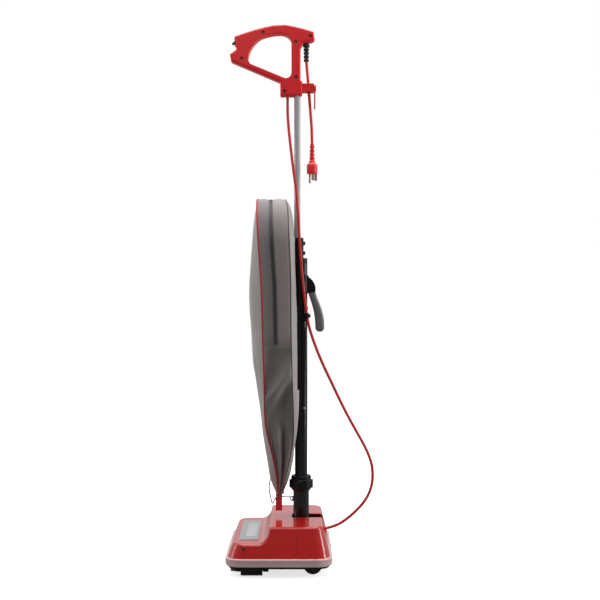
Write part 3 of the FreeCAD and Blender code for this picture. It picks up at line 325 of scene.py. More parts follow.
def make_floor_finish():
    """White paper that glows a little towards the lens, so its shadows stay pale."""
    floor = Finish("studio_floor_white", (0.22, 0.22, 0.22), 0.8)
    paper = floor.tree.nodes.new("ShaderNodeBsdfDiffuse")
    paper.inputs["Color"].default_value = (0.66, 0.66, 0.66, 1)
    glow = floor.tree.nodes.new("ShaderNodeEmission")
    glow.inputs["Strength"].default_value = 0.74
    seen = floor.tree.nodes.new("ShaderNodeAddShader")
    path = floor.tree.nodes.new("ShaderNodeLightPath")
    mix = floor.tree.nodes.new("ShaderNodeMixShader")
    link = floor.tree.links.new
    link(paper.outputs["BSDF"], seen.inputs[0])
    link(glow.outputs["Emission"], seen.inputs[1])
    link(path.outputs["Is Camera Ray"], mix.inputs["Fac"])
    link(floor.shader.outputs["BSDF"], mix.inputs[1])
    link(seen.outputs["Shader"], mix.inputs[2])
    link(mix.outputs["Shader"], floor.tree.nodes["Material Output"].inputs["Surface"])
    return floor


# nodes whose finish differs from the rest of their material slot: the grip's lighter red beside
# the housing's darker copy (painted shade), dark screws (painted shade of their recesses), the
# grommet in cord red
SHADES = {"handle_shell_left": "grip_red", "handle_shell_right": "grip_red",
          "upper_cord_hook": "grip_red", "cord_grommet": "red_cord",
          # the screws take a dark steel: painted shade of the recesses they sit in
          "handle_screws": "screw_dark", "housing_screws": "screw_dark"}


def dress_frame(finishes):
    """Every CAD node takes the finish of its material slot."""
    slots = {entry["node"]: entry["material_slot"] for entry in frame["record"]["subparts"]}
    for name, obj in NODES.items():
        obj.data.materials.clear()
        obj.data.materials.append(finishes[SHADES.get(name, slots[name])].material)


# ---- Shared mesh helpers

def deselect():
    if bpy.context.object and bpy.context.object.mode != "OBJECT":
        bpy.ops.object.mode_set(mode="OBJECT")
    bpy.ops.object.select_all(action="DESELECT")


def make_current(obj):
    deselect()
    obj.select_set(True)
    bpy.context.view_layer.objects.active = obj


def mesh_piece(name, points, faces, finish):
    mesh = bpy.data.meshes.new(name)
    mesh.from_pydata([tuple(point) for point in points], [], faces)
    mesh.materials.append(finish.material)
    obj = bpy.data.objects.new(name, mesh)
    bpy.context.scene.collection.objects.link(obj)
    return obj


def smooth(obj, degrees=40):
    make_current(obj)
    bpy.ops.object.shade_smooth_by_angle(angle=math.radians(degrees))


def outward(obj):
    make_current(obj)
    bpy.ops.object.mode_set(mode="EDIT")
    bpy.ops.mesh.select_all(action="SELECT")
    bpy.ops.mesh.remove_doubles(threshold=1e-6)
    bpy.ops.mesh.normals_make_consistent(inside=False)
    bpy.ops.object.mode_set(mode="OBJECT")


def settled(name, scale=(1, 1, 1)):
    """The object just added, named and sized, with its place put into its mesh."""
    obj = bpy.context.object
    obj.name = name
    obj.scale = scale
    bpy.ops.object.transform_apply(location=True, rotation=True, scale=True)
    return obj


def round_edges(obj, width, finish):
    """Bevelled edges and soft shading for a hard piece, then its finish."""
    bevel = obj.modifiers.new("rounded", "BEVEL")
    bevel.width = width
    bevel.segments = 3
    bpy.ops.object.modifier_apply(modifier=bevel.name)
    bpy.ops.object.shade_smooth_by_angle(angle=math.radians(40))
    obj.data.materials.append(finish.material)


def ring_faces(rings, count):
    """The quads between rings of count points each, and whose last point meets the first."""
    faces = []
    for ring in range(rings - 1):
        for step in range(count):
            following = (step + 1) % count
            low, high = ring * count, (ring + 1) * count
            faces.append((low + step, low + following, high + following, high + step))
    return faces


def way_ahead(line, index):
    return (line[min(index + 1, len(line) - 1)] - line[max(index - 1, 0)]).normalized()


def frames_along(line):
    """Two directions across a line at each of its points, carried along without twist."""
    sides = []
    across = None
    for index in range(len(line)):
        ahead = way_ahead(line, index)
        if across is None:
            across = ahead.orthogonal().normalized()
        across = (across - ahead * across.dot(ahead)).normalized()
        sides.append((across, ahead.cross(across)))
    return sides


def tube_mesh(name, line, radius, finish, count=12):
    """A round tube with flat ends whose rings sit on the points of a line."""
    points = []
    for centre, (first, second) in zip(line, frames_along(line)):
        for step in range(count):
            angle = 2 * math.pi * step / count
            points.append(centre + (first * math.cos(angle) + second * math.sin(angle)) * radius)
    last = (len(line) - 1) * count
    faces = ring_faces(len(line), count)
    faces += [tuple(range(count - 1, -1, -1)), tuple(range(last, last + count))]
    obj = mesh_piece(name, points, faces, finish)
    smooth(obj, 60)
    return obj


# ---- Cords

CORD_DIAMETER = 0.0066

POWER_CORD = [(59.8, 0, 1140), (60.8, 0.3, 1124), (63.2, 0.6, 1098), (65.2, 0.6, 1070),
              (68, 0.2, 1034), (71.2, -0.4, 998), (72.6, -0.4, 968), (73, 0, 947)]

MOTOR_CORD = [(17.4, -5, 1060), (16.8, -5.6, 1032), (18.6, -8, 992), (23.6, -12.4, 944),
              (29.6, -17.4, 893), (36.4, -20.6, 845), (40.8, -21.8, 794), (43.4, -22.4, 744),
              (46.4, -22.4, 694), (50.4, -21.8, 646), (55, -20, 604), (60, -17.8, 565),
              (64, -16, 540), (70.4, -14.6, 517), (80.4, -15, 488), (95, -17, 452),
              (115.5, -21, 409), (142.5, -28, 352), (168.5, -36, 304), (190.5, -43, 266),
              (204.5, -48, 232.5), (207.6, -52, 205), (204.4, -55, 178), (193, -58, 152),
              (172.5, -60, 128), (147, -60.4, 106), (124.5, -60.2, 92.2), (102.1, -60, 86.8)]


def cord_curve(name, route):
    """A smooth spline with the route's points as its control points."""
    data = bpy.data.curves.new(name, "CURVE")
    data.dimensions = "3D"
    data.resolution_u = 12
    spline = data.splines.new("NURBS")
    spline.points.add(len(route) - 1)
    for point, (x, y, z) in zip(spline.points, route):
        point.co = (x * MM, y * MM, z * MM, 1.0)
    spline.order_u = 3
    spline.use_endpoint_u = True
    obj = bpy.data.objects.new(name, data)
    bpy.context.scene.collection.objects.link(obj)
    return obj


def line_of(curve):
    """The points of a bare curve, in order."""
    bpy.context.view_layer.update()
    mesh = bpy.data.meshes.new_from_object(curve.evaluated_get(
        bpy.context.evaluated_depsgraph_get()))
    line = [vertex.co.copy() for vertex in mesh.vertices]
    bpy.data.meshes.remove(mesh)
    return line


def curve_line(route):
    """Points along a smooth spline through given control points in millimetres."""
    curve = cord_curve("route", route)
    line = line_of(curve)
    bpy.data.objects.remove(curve)
    return line


def make_power_cord(finishes):
    """The short supply lead that hangs from the grip, with its moulded plug."""
    curve = cord_curve("supply_lead", POWER_CORD)
    curve.data.materials.append(finishes["red_cord"].material)
    line = line_of(curve)
    curve.data.bevel_depth = CORD_DIAMETER / 2
    curve.data.bevel_resolution = 5
    curve.data.use_fill_caps = True
    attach(curve, "handle")
    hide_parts("power_cord")


def make_motor_cord(finishes):
    """The cord from the grip down to the motor."""
    line = curve_line(MOTOR_CORD)
    # the motor lead takes the darker copy of the cord red: painted shade
    cord = tube_mesh("motor_lead", line, CORD_DIAMETER / 2, finishes["motor_lead"])
    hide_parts("motor_cord", "motor_cord_loop")
    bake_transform(cord)


# ---- The cloth bag

def steps(table, level):
    """A value read from (level, value) steps with smooth passages between them."""
    if level <= table[0][0]:
        return table[0][1]
    if level >= table[-1][0]:
        return table[-1][1]
    slopes = []
    for index in range(len(table)):
        low = table[max(index - 1, 0)]
        high = table[min(index + 1, len(table) - 1)]
        slopes.append((high[1] - low[1]) / (high[0] - low[0]))
    index = next(step for step in range(len(table) - 1) if level <= table[step + 1][0])
    (start, first), (end, last) = table[index], table[index + 1]
    span = end - start
    t = (level - start) / span
    return ((2 * t ** 3 - 3 * t ** 2 + 1) * first
            + (t ** 3 - 2 * t ** 2 + t) * span * slopes[index]
            + (-2 * t ** 3 + 3 * t ** 2) * last
            + (t ** 3 - t ** 2) * span * slopes[index + 1])


def bump(value, centre, width):
    """A soft hill of height 1 round a centre."""
    return math.exp(-((value - centre) / width) ** 2)


def smooth_step(value, start, end):
    t = min(max((value - start) / (end - start), 0.0), 1.0)
    return t * t * (3 - 2 * t)


# where the bag's lines run, in millimetres: (level, X)
BAG_FRONT = [(152, -9), (160, -11.5), (170, -16), (184, -21), (196, -24), (241, -30), (278, -36),
             (352, -45), (414, -54), (458, -61), (525, -65), (570, -69), (616, -69.5),
             (684, -66.5), (749, -60.5), (800, -53.5), (820, -50.5)]
BAG_PIPING = [(152, -4.5), (192, -6), (227, -11), (262, -18), (293, -25), (325, -30),
              (414, -31.5), (491, -34), (622, -38), (684, -42), (746, -46), (800, -49),
              (820, -50)]
BAG_ZIP = [(480, -7), (622, -10), (663, -12.7), (718, -15.9), (759, -17.9), (820, -20)]
BAG_SEAM = [(152, 3), (170, 6), (184, 10), (204, 15), (234, 22), (274, 29), (316, 31.5),
            (428, 28.4), (527, 26), (643, 25.3), (712, 22.5), (771, 20), (800, 17.5), (820, 13)]
BAG_BACK = [(152, 4.5), (160, 5.2), (170, 9.2), (184, 14.5), (204, 20), (250, 28), (286, 34),
            (334, 38.5), (394, 40), (454, 41), (526, 39.5), (624, 36), (737, 32), (779, 29),
            (807, 22.5), (820, 14)]
BAG_HALF = [(152, 7), (175, 22), (200, 36), (240, 57), (285, 76), (335, 93), (385, 107),
            (440, 115), (490, 117.5), (610, 117.5)]
BAG_TOP = 820
BAG_SHOULDER = 712
BAG_ARCH = 2.15
GUSSET_HEM = 488
BACK_HEM = 391
FRONT_COLUMNS = 44
SIDE_COLUMNS = 30

# how far the cloth of the side strip and the panels stands out or falls in, in millimetres
ZIP_VALLEY = 3.4
ZIP_GROOVE = 1.6
PILLOW_RISE = 1.4
CROWN_RISE = 4.5
SEAM_TUCK = 1.2
HEM_TUCK = 1.3
FOLD_RISE = 19
FOLD_FALL = 52
HOLLOW_DEPTH = 13
SAG_DEPTH = 5
LOWER_DRAW = 8
CREASE_RISE = 3.4
# the gathers at the tail: (height in millimetres, centre and width across the strip)
TAIL_FOLDS = ((-21, 0.62, 0.085), (5, 0.36, 0.12), (-5, 0.14, 0.05), (3, 0.85, 0.09))
LONG_WAVE, SHORT_WAVE, SEAM_PUCKER = 2.6, 0.9, 0.8
BAG_MIDDLE = 0.6


def bag_half_width(level):
    """Half the bag's width; the top is a rounded arch."""
    if level <= BAG_SHOULDER:
        return steps(BAG_HALF, level)
    rise = (level - BAG_SHOULDER) / (BAG_TOP + 0.5 - BAG_SHOULDER)
    return BAG_HALF[-1][1] * (1 - rise ** BAG_ARCH) ** (1 / BAG_ARCH)


def bag_levels():
    """Rows from the tip to the top, closer together where the arch turns over."""
    straight, arch = 150, 40
    rows = [BAG_FRONT[0][0] + (BAG_SHOULDER - BAG_FRONT[0][0]) * step / straight
            for step in range(straight)]
    rows += [BAG_SHOULDER + (BAG_TOP - BAG_SHOULDER) * math.sin(math.pi / 2 * step / arch)
             for step in range(arch + 1)]
    rows += [BACK_HEM - 0.8, BACK_HEM + 0.8, GUSSET_HEM - 1, GUSSET_HEM + 1]
    return sorted(rows)


def arch_out(level):
    """The way outwards, in Y and Z, on the right side of the bag at a level."""
    if level >= BAG_TOP - 0.01:
        return 0.0, 1.0
    step = 0.4
    wide = bag_half_width(max(level - step, BAG_FRONT[0][0]))
    narrow = bag_half_width(min(level + step, BAG_TOP))
    length = math.hypot(2 * step, wide - narrow)
    return 2 * step / length, (wide - narrow) / length


def hem_level(along):
    """The hem across the side strip rises a little towards the rear."""
    return GUSSET_HEM + 8 * along


def zip_share(level):
    """Where the zip lies across the side strip, from 0 at the piping to 1 at the seam."""
    return ((steps(BAG_ZIP, level) - steps(BAG_PIPING, level))
            / (steps(BAG_SEAM, level) - steps(BAG_PIPING, level)))


def gusset_push(along, level):
    """How far the side strip stands out, in millimetres: dips, hem and gathered folds."""
    zip_at = zip_share(level)
    valley = min(along / zip_at, (1 - along) / (1 - zip_at))
    above = smooth_step(level, GUSSET_HEM - 20, GUSSET_HEM + 30)
    arch = smooth_step(level, 740, 800)
    dip = -ZIP_VALLEY * math.sin(valley * math.pi / 2) * above * smooth_step(level, 815, 740)
    dip -= ZIP_GROOVE * bump(along, zip_at, 0.12) * arch
    dip += PILLOW_RISE * (bump(along, 0.22, 0.14) + bump(along, 0.74, 0.16)) * arch
    crown = CROWN_RISE * bump(along, 0.88, 0.16) * above * smooth_step(level, 800, 700)
    edge = -SEAM_TUCK * bump(along, 1, 0.035)
    hem = -HEM_TUCK * bump(level, hem_level(along), 2.0)
    below = 1 - above
    inside = math.sin(math.pi * min(max(along, 0.0), 1.0)) ** 0.45
    ridge = 370 + 66 * along
    start = 404 + 84 * along
    slope = smooth_step(level, start, ridge) * smooth_step(level, ridge - FOLD_FALL, ridge)
    hollow = bump(level, 356 + 8 * along, 46) * bump(along, 0.84, 0.24)
    sag = bump(level, start + 14, 44) * bump(along, 0.3, 0.3)
    slack = (FOLD_RISE * slope - HOLLOW_DEPTH * hollow - SAG_DEPTH * sag
             - LOWER_DRAW * smooth_step(level, 290, 370)
             + CREASE_RISE * bump(level, 296, 17) * bump(along, 0.36, 0.22))
    gather = smooth_step(level, 345, 270) * min(1.0, bag_half_width(level) / 50)
    folds = gather * sum(height * bump(along, centre, width)
                         for height, centre, width in TAIL_FOLDS)
    return dip + crown + edge + hem + below * inside * slack + folds


def panel_wrinkle(y, level, seed):
    """Slack of the front and back cloth: long soft waves and puckers beside the seams."""
    waves = noise.noise(Vector((y * 0.02, level * 0.007, seed)))
    small = noise.noise(Vector((y * 0.05, level * 0.02, seed + 5)))
    pull = math.sin(y * 0.11) * smooth_step(level, 420, 230) * smooth_step(level, 158, 200)
    return LONG_WAVE * waves + SHORT_WAVE * small + SEAM_PUCKER * pull


def bag_ring(level):
    """One closed section: front panel, right side strip, back panel, left side strip."""
    front = steps(BAG_FRONT, level)
    piping = steps(BAG_PIPING, level)
    seam = steps(BAG_SEAM, level)
    back = steps(BAG_BACK, level)
    half = bag_half_width(level)
    out_y, out_z = arch_out(level)
    quiet = smooth_step(level, 160, 260) * smooth_step(level, BAG_TOP, BAG_TOP - 40)
    ring = []
    front_crown, back_crown = 2.5, 2.6
    for step in range(FRONT_COLUMNS):
        across = -1 + 2 * step / FRONT_COLUMNS
        free = 1 - abs(across) ** front_crown
        x = piping + (front - piping) * free
        x += panel_wrinkle(half * across, level, 1) * free * quiet
        ring.append((x, half * across, level))
    side_strip = []
    for step in range(SIDE_COLUMNS + 1):
        along = step / SIDE_COLUMNS
        push = gusset_push(along, level)
        side_strip.append((piping + (seam - piping) * along, half + push * out_y,
                           level + push * out_z))
    ring += side_strip[:-1]
    tube_half, tube_front, tube_edge, hem_lift = 20.5, 31.4, 0.8, 4.2
    hem = hem_lift * smooth_step(level, BACK_HEM + 0.9, BACK_HEM - 0.9)
    edge_y, edge_z = side_strip[-1][1], side_strip[-1][2] - level
    for step in range(FRONT_COLUMNS):
        across = 1 - 2 * step / FRONT_COLUMNS
        free = 1 - abs(across) ** back_crown
        y = edge_y * across
        x = seam + (back + hem * min(1, free * 6) - seam) * free
        x += panel_wrinkle(y, level, 9) * free * quiet
        press = 1 / (1 + math.exp((abs(y) - tube_half) * tube_edge))
        x += (min(x, tube_front) - x) * press
        ring.append((x, y, level + edge_z * abs(across)))
    ring += [(x, -y, z) for x, y, z in reversed(side_strip[1:])]
    return ring


def add_bag_top(points, faces, marks, count, last):
    """The strip across the top, between the last section's own points."""
    def place_of(row, column):
        if row == 0:
            return last + column
        if row == SIDE_COLUMNS:
            return last + 2 * FRONT_COLUMNS + SIDE_COLUMNS - column
        if column == FRONT_COLUMNS:
            return last + FRONT_COLUMNS + row
        if column == 0:
            return last + count - row
        return start + (row - 1) * (FRONT_COLUMNS - 1) + column - 1

    start = len(points)
    for row in range(1, SIDE_COLUMNS):
        left, right = points[place_of(row, 0)], points[place_of(row, FRONT_COLUMNS)]
        for column in range(1, FRONT_COLUMNS):
            points.append(left.lerp(right, column / FRONT_COLUMNS))
    for row in range(SIDE_COLUMNS):
        for column in range(FRONT_COLUMNS):
            faces.append((place_of(row, column), place_of(row, column + 1),
                          place_of(row + 1, column + 1), place_of(row + 1, column)))
            marks.append(row / SIDE_COLUMNS)


def make_bag(finishes):
    """The bag as one closed cloth shell with its panels, dips, hems and gathered folds."""
    levels = bag_levels()
    rings = [bag_ring(level) for level in levels]
    count = len(rings[0])
    points = [Vector(spot) * MM for ring in rings for spot in ring]
    faces = ring_faces(len(levels), count)
    ring_marks = [None] * count
    for step in range(SIDE_COLUMNS):
        ring_marks[FRONT_COLUMNS + step] = step / SIDE_COLUMNS
        ring_marks[count - 1 - step] = step / SIDE_COLUMNS
    marks = ring_marks * (len(levels) - 1)
    faces.append(tuple(range(count - 1, -1, -1)))
    marks.append(None)
    add_bag_top(points, faces, marks, count, (len(levels) - 1) * count)
    bag = mesh_piece("cloth_bag", points, faces, finishes["bag_cloth"])
    bag.data.materials.append(finishes["bag_shade"].material)
    for polygon, mark in zip(bag.data.polygons, marks):
        if mark is None:
            continue
        level = polygon.center.z / MM
        # the front part of each side strip, and all of it below the hem, take the darker copy of
        # the cloth: painted shade
        shaded = mark < zip_share(level) or level < GUSSET_HEM
        polygon.material_index = 1 if shaded else 0
    smooth(bag, 45)
    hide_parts("outer_bag")
    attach(bag, "handle")


def bag_line(table, push=None, out=0.0, low=None):
    """A line over the bag: up its right side, across the top and down the left side."""
    side = []
    for level in bag_levels():
        if low and level < low:
            continue
        half = bag_half_width(level)
        out_y, out_z = arch_out(level)
        reach = (push(level) if push else 0) + out
        side.append(Vector((steps(table, level), half + reach * out_y,
                            level + reach * out_z)) * MM)
    top = side[-1]
    across = [Vector((top.x, top.y * share, top.z)) for share in (0.6, 0.2, -0.2, -0.6)]
    return side + across + [Vector((spot.x, -spot.y, spot.z)) for spot in reversed(side)]


def zip_push(level):
    return gusset_push(zip_share(level), level)


def make_piping(finishes):
    """Red corded piping where the front panel joins the side strip, and a thin dark line along
    the rear seam: painted shade of the gap there.
    """
    line = bag_line(BAG_PIPING, out=-0.7, low=158)
    piping = tube_mesh("bag_piping", line, 2.6 * MM, finishes["piping"], 10)
    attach(piping, "handle")
    # a thin dark tube along the rear seam: painted shade of the gap between side strip and back
    # panel
    rear_seam_path = bag_line(BAG_SEAM, lambda level: gusset_push(1, level), out=0.5, low=170)
    rear_seam_shade = tube_mesh("rear_seam_shade_line", rear_seam_path, 1.3 * MM, finishes["zip_tape"], 8)
    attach(rear_seam_shade, "handle")


def away_from_bag(spot, ahead, across):
    """The unit direction square to two others that leads out of the bag."""
    up = ahead.cross(across).normalized()
    return -up if up.dot(spot - Vector((spot.x, 0, BAG_MIDDLE))) < 0 else up


def ribbon_mesh(name, line, width, rise, finish):
    """A thin band lying on the bag along a line, its width along X."""
    points = []
    section = [(-0.5, 0.15), (-0.47, 1.0), (0.47, 1.0), (0.5, 0.15)]
    sideways = Vector((1, 0, 0))
    for index, spot in enumerate(line):
        outwards = away_from_bag(spot, way_ahead(line, index), sideways)
        for share, height in section:
            points.append(spot + sideways * width * share + outwards * rise * height)
    faces = ring_faces(len(line), 4)
    faces += [(3, 2, 1, 0), tuple(range(len(points) - 4, len(points)))]
    band = mesh_piece(name, points, faces, finish)
    outward(band)
    smooth(band, 30)
    return band


def spaced(line, pitch):
    """Points a pitch apart along a line, each with the way ahead."""
    found = []
    wanted = 0.0
    travelled = 0.0
    for before, after in zip(line, line[1:]):
        length = (after - before).length
        while wanted <= travelled + length:
            found.append((before.lerp(after, (wanted - travelled) / length),
                          (after - before).normalized()))
            wanted += pitch
        travelled += length
    return found


def blocks_mesh(name, places, size, finish):
    """Many small blocks in one mesh; a place is a centre and three unit directions."""
    points = []
    faces = []
    corners = [(x, y, z) for x in (-0.5, 0.5) for y in (-0.5, 0.5) for z in (-0.5, 0.5)]
    sides = [(0, 1, 3, 2), (4, 6, 7, 5), (0, 4, 5, 1), (2, 3, 7, 6), (0, 2, 6, 4), (1, 5, 7, 3)]
    for centre, ahead, across, up in places:
        first = len(points)
        for x, y, z in corners:
            points.append(centre + ahead * size[0] * x + across * size[1] * y
                          + up * size[2] * z)
        faces += [tuple(first + corner for corner in side) for side in sides]
    obj = mesh_piece(name, points, faces, finish)
    outward(obj)
    return obj


def facing_out(spot, ahead, across=None):
    """Unit directions of a small block on the bag: ahead, across and outwards."""
    up = away_from_bag(spot, ahead, across or Vector((1, 0, 0)))
    return ahead, up.cross(ahead).normalized(), up


def make_zipper(finishes):
    """Dark tape set in the side strip, with two rows of small teeth and its end stops."""
    line = bag_line(BAG_ZIP, zip_push, out=-0.2, low=GUSSET_HEM + 4)
    tape_width, tape_rise, tooth_pitch, stagger = 11.5 * MM, 1.1 * MM, 1.7 * MM, 0.9 * MM
    tape = ribbon_mesh("zipper_tape", line, tape_width, tape_rise, finishes["zip_tape"])
    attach(tape, "handle")
    teeth = []
    for index, (spot, ahead) in enumerate(spaced(line, tooth_pitch)):
        ahead, across, up = facing_out(spot, ahead)
        shift = stagger if index % 2 else -stagger
        teeth.append((spot + across * shift + up * 1.2 * MM, ahead, across, up))
    chain = blocks_mesh("zipper_teeth", teeth, (1.1 * MM, 2.6 * MM, 1.1 * MM),
                        finishes["zip_metal"])
    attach(chain, "handle")
    stops = []
    for spot, ahead in (spaced(line, 1 * MM)[2], spaced(line, 1 * MM)[-3]):
        ahead, across, up = facing_out(spot, ahead)
        stops.append((spot + up * 1.4 * MM, ahead, across, up))
    stop = blocks_mesh("zipper_stops", stops, (2.2 * MM, 7 * MM, 1.6 * MM),
                       finishes["zip_metal"])
    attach(stop, "handle")


def rounded_box(name, low, high, width, finish):
    """A box between two corners in millimetres with rounded edges."""
    deselect()
    centre = [(a + b) / 2 * MM for a, b in zip(low, high)]
    bpy.ops.mesh.primitive_cube_add(size=1, location=centre)
    box = settled(name, [(b - a) * MM for a, b in zip(low, high)])
    round_edges(box, width * MM, finish)
    return box


def make_zip_slider(finishes):
    """The slider saddles the closed teeth at the foot of the zip; its pull tab hangs down."""
    level = 526
    x = steps(BAG_ZIP, level)
    surface = bag_half_width(level) + zip_push(level)
    pieces = [rounded_box("zip_saddle", (x - 4, surface + 0.6, level - 6),
                          (x + 4, surface + 5.2, level + 6), 1.4, finishes["zip_metal"]),
              rounded_box("zip_bridge", (x - 1.5, surface + 4.6, level - 4),
                          (x + 1.5, surface + 6.4, level + 4), 0.7, finishes["zip_metal"]),
              rounded_box("zip_pull_tab", (x - 2.4, surface + 5.4, level - 21),
                          (x + 2.4, surface + 6.6, level - 1), 0.5, finishes["zip_metal"])]
    for piece in pieces:
        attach(piece, "zip")
        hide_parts("zipper_slider")


def make_strip_clip(finishes):
    """A thin metal clip closes the bumper strip where its ends meet at the back."""
    low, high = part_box("bumper")
    out = high.x / MM
    clip = rounded_box("bumper_strip_clip", (out - 3, -9, low.z / MM + 2),
                       (out + 1.1, 9, high.z / MM - 3), 0.6, finishes["clip_grey"])
    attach(clip, "base")


def make_tube_button(finishes):
    """The sprung pin that shows through the lower tube."""
    low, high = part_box("lower_tube")
    centre = (low + high) / 2
    radius = (high.x - low.x) / 2
    level, proud, turn = 0.348, 0.0002, math.radians(28)
    way = Vector((math.sin(turn), -math.cos(turn), 0))
    deselect()
    bpy.ops.mesh.primitive_cylinder_add(vertices=32, radius=2.3 * MM, depth=3 * MM,
                                        location=(centre.x + way.x * (radius + proud),
                                                  centre.y + way.y * (radius + proud), level),
                                        rotation=(math.radians(90), 0, turn))
    pin = settled("tube_button")
    round_edges(pin, 0.8 * MM, finishes["steel"])
    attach(pin, "handle")


def make_plate_inlay(finishes):
    """A plain lighter panel let into the blank rating plate."""
    low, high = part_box("name_plate")
    low, high = low / MM, high / MM
    wide = high.x - low.x
    front_margin, rear_margin = 0.34 * wide, 0.12 * wide
    near_margin, far_margin, sunk, proud = 38, 34, 0.3, 0.25
    inlay = rounded_box("rating_plate_inlay",
                        (low.x + front_margin, low.y + near_margin, high.z - sunk),
                        (high.x - rear_margin, high.y - far_margin, high.z + proud), 0.25,
                        finishes["inlay_silver"])
    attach(inlay, "base")


def make_tie_ring(finishes):
    """The small ring on the riser that the tail's tie is looped through."""
    deselect()
    bpy.ops.mesh.primitive_torus_add(major_radius=4.4 * MM, minor_radius=1.3 * MM,
                                     major_segments=40, minor_segments=14,
                                     location=(27.4 * MM, 0, 141.5 * MM),
                                     rotation=(math.radians(90), 0, 0))
    ring = settled("tie_ring")
    bpy.ops.object.shade_smooth()
    ring.data.materials.append(finishes["tie"].material)
    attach(ring, "handle")


def make_stitching(finishes):
    """Lines of stitches beside the zipper and along the hems."""
    stitches = []
    pitch, zip_gap, hem_gap, hem_points = 3.6 * MM, 4.6, 2.4, 20
    for offset in (-zip_gap, zip_gap):
        table = [(level, x + offset) for level, x in BAG_ZIP]
        line = bag_line(table, zip_push, out=1.0, low=GUSSET_HEM + 4)
        stitches += [(spot, *facing_out(spot, ahead)) for spot, ahead in spaced(line, pitch)]
    for side in (-1, 1):
        for offset in (-hem_gap, hem_gap):
            line = []
            for step in range(1, hem_points):
                along = step / hem_points
                level = hem_level(along) + offset
                piping, seam = steps(BAG_PIPING, level), steps(BAG_SEAM, level)
                reach = bag_half_width(level) + gusset_push(along, level) + 0.15
                line.append(Vector((piping + (seam - piping) * along, side * reach,
                                    level)) * MM)
            upwards = Vector((0, 0, 1))
            stitches += [(spot, *facing_out(spot, ahead, upwards))
                         for spot, ahead in spaced(line, pitch)]
    seams = blocks_mesh("bag_stitching", stitches, (2.4 * MM, 0.55 * MM, 0.45 * MM),
                        finishes["thread"])
    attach(seams, "handle")


# ---- Tail strap and its tie

def sweep_mesh(name, line, halves, finish, roundness=2.0, count=20, across=Vector((0, 1, 0))):
    """A bar along a line; halves are its half sizes in the line's plane and across it."""
    points = []
    for index, spot in enumerate(line):
        side = way_ahead(line, index).cross(across).normalized()
        width, depth = halves[index]
        for step in range(count):
            angle = 2 * math.pi * step / count
            c, s = math.cos(angle), math.sin(angle)
            points.append(spot
                          + side * width * math.copysign(abs(c) ** (2 / roundness), c)
                          + across * depth * math.copysign(abs(s) ** (2 / roundness), s))
    last = (len(line) - 1) * count
    faces = ring_faces(len(line), count)
    faces += [tuple(range(count)), tuple(range(last + count - 1, last - 1, -1))]
    obj = mesh_piece(name, points, faces, finish)
    outward(obj)
    smooth(obj, 55)
    return obj


def make_tail_strap(finishes):
    """Folded webbing tab sewn round the bag's tail, with its stitches and the tie."""
    low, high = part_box("bag_tail_strap")
    middle = (low.x + high.x) / 2
    half = (high.x - low.x) / 2
    top = high.z + 0.006
    lift, bend, half_thick, rows, turns = 0.004, 0.0019, 0.0011, 8, 8
    foot = low.z + lift
    route = [Vector((middle, -bend, top + (foot - top) * share / rows))
             for share in range(rows + 1)]
    for step in range(1, turns):
        angle = math.pi * step / turns
        route.append(Vector((middle, -bend * math.cos(angle),
                             foot - bend * math.sin(angle) * 1.6)))
    route += [Vector((middle, bend, foot + (top - low.z - lift) * share / rows))
              for share in range(rows + 1)]
    strap = sweep_mesh("tail_strap_webbing", route, [(half_thick, half)] * len(route),
                       finishes["red_webbing"], 6.0, 20, Vector((1, 0, 0)))
    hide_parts("bag_tail_strap")
    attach(strap, "handle")
    stitches = []
    rise, sideways, near = Vector((0, 0, 1)), Vector((1, 0, 0)), Vector((0, -1, 0))
    face = -bend - 0.0012
    for x in (-0.0048, 0.0048):
        for step in range(11):
            spot = Vector((middle + x, face, low.z + 0.007 + 0.0031 * step))
            stitches.append((spot, rise, sideways, near))
    for step in range(4):
        spot = Vector((middle - 0.0036 + 0.0024 * step, face, high.z - 0.002))
        stitches.append((spot, sideways, rise, near))
    sewn = blocks_mesh("strap_stitching", stitches, (0.0022, 0.0006, 0.0005),
                       finishes["red_thread"])
    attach(sewn, "handle")
    make_tie(finishes)


TIE = [(27, 0, 145.6), (22, -2.2, 145.4), (12, -4, 146), (3, -4.6, 147), (-6, -4.8, 147.4),
       (-11.5, -4.2, 142), (-14, -2.6, 134), (-16.5, -1, 130), (-19.2, 0.4, 134),
       (-22.5, 1.5, 148), (-25, 1, 162), (-24.8, 0.4, 174), (-21.8, 0, 186)]
TIE_DIAMETER = 0.0026


def make_tie(finishes):
    """The thin cord tie from the riser's ring round the tail strap and up to the bag."""
    line = curve_line(TIE)
    tie = tube_mesh("tail_tie", line, TIE_DIAMETER / 2, finishes["tie"], 10)
    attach(tie, "handle")


# ---- Rounded hook, brushes and small hardware

def make_lower_hook(finishes):
    """The lower cord hook as a rounded moulded bar that ends in a full round."""
    route = [(72, 0, 611), (74.5, 0, 603), (79, 0, 590), (84, 0, 576), (87.8, 0, 561),
             (90, 0, 546), (90.4, 0, 534), (90.4, 0, 521)]
    line = curve_line(route)
    root_width, flare, half_depth, tip_start, tip_length = 8.2, 2.1, 11, 531, 10.4
    halves = []
    for spot in line:
        height = spot.z / MM
        width = root_width + flare * smooth_step(height, 600, 545)
        tip = 1.0
        if height < tip_start:
            tip = max(0.0, 1 - ((tip_start - height) / tip_length) ** 2) ** 0.5
        halves.append((max(width * tip, 0.8) * MM,
                       max(half_depth * (0.35 + 0.65 * tip), 1) * MM))
    hook = sweep_mesh("lower_hook_bar", line, halves, finishes["hook_gloss"], 3.2, 32)
    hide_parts("lower_cord_hook")
    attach(hook, "handle")


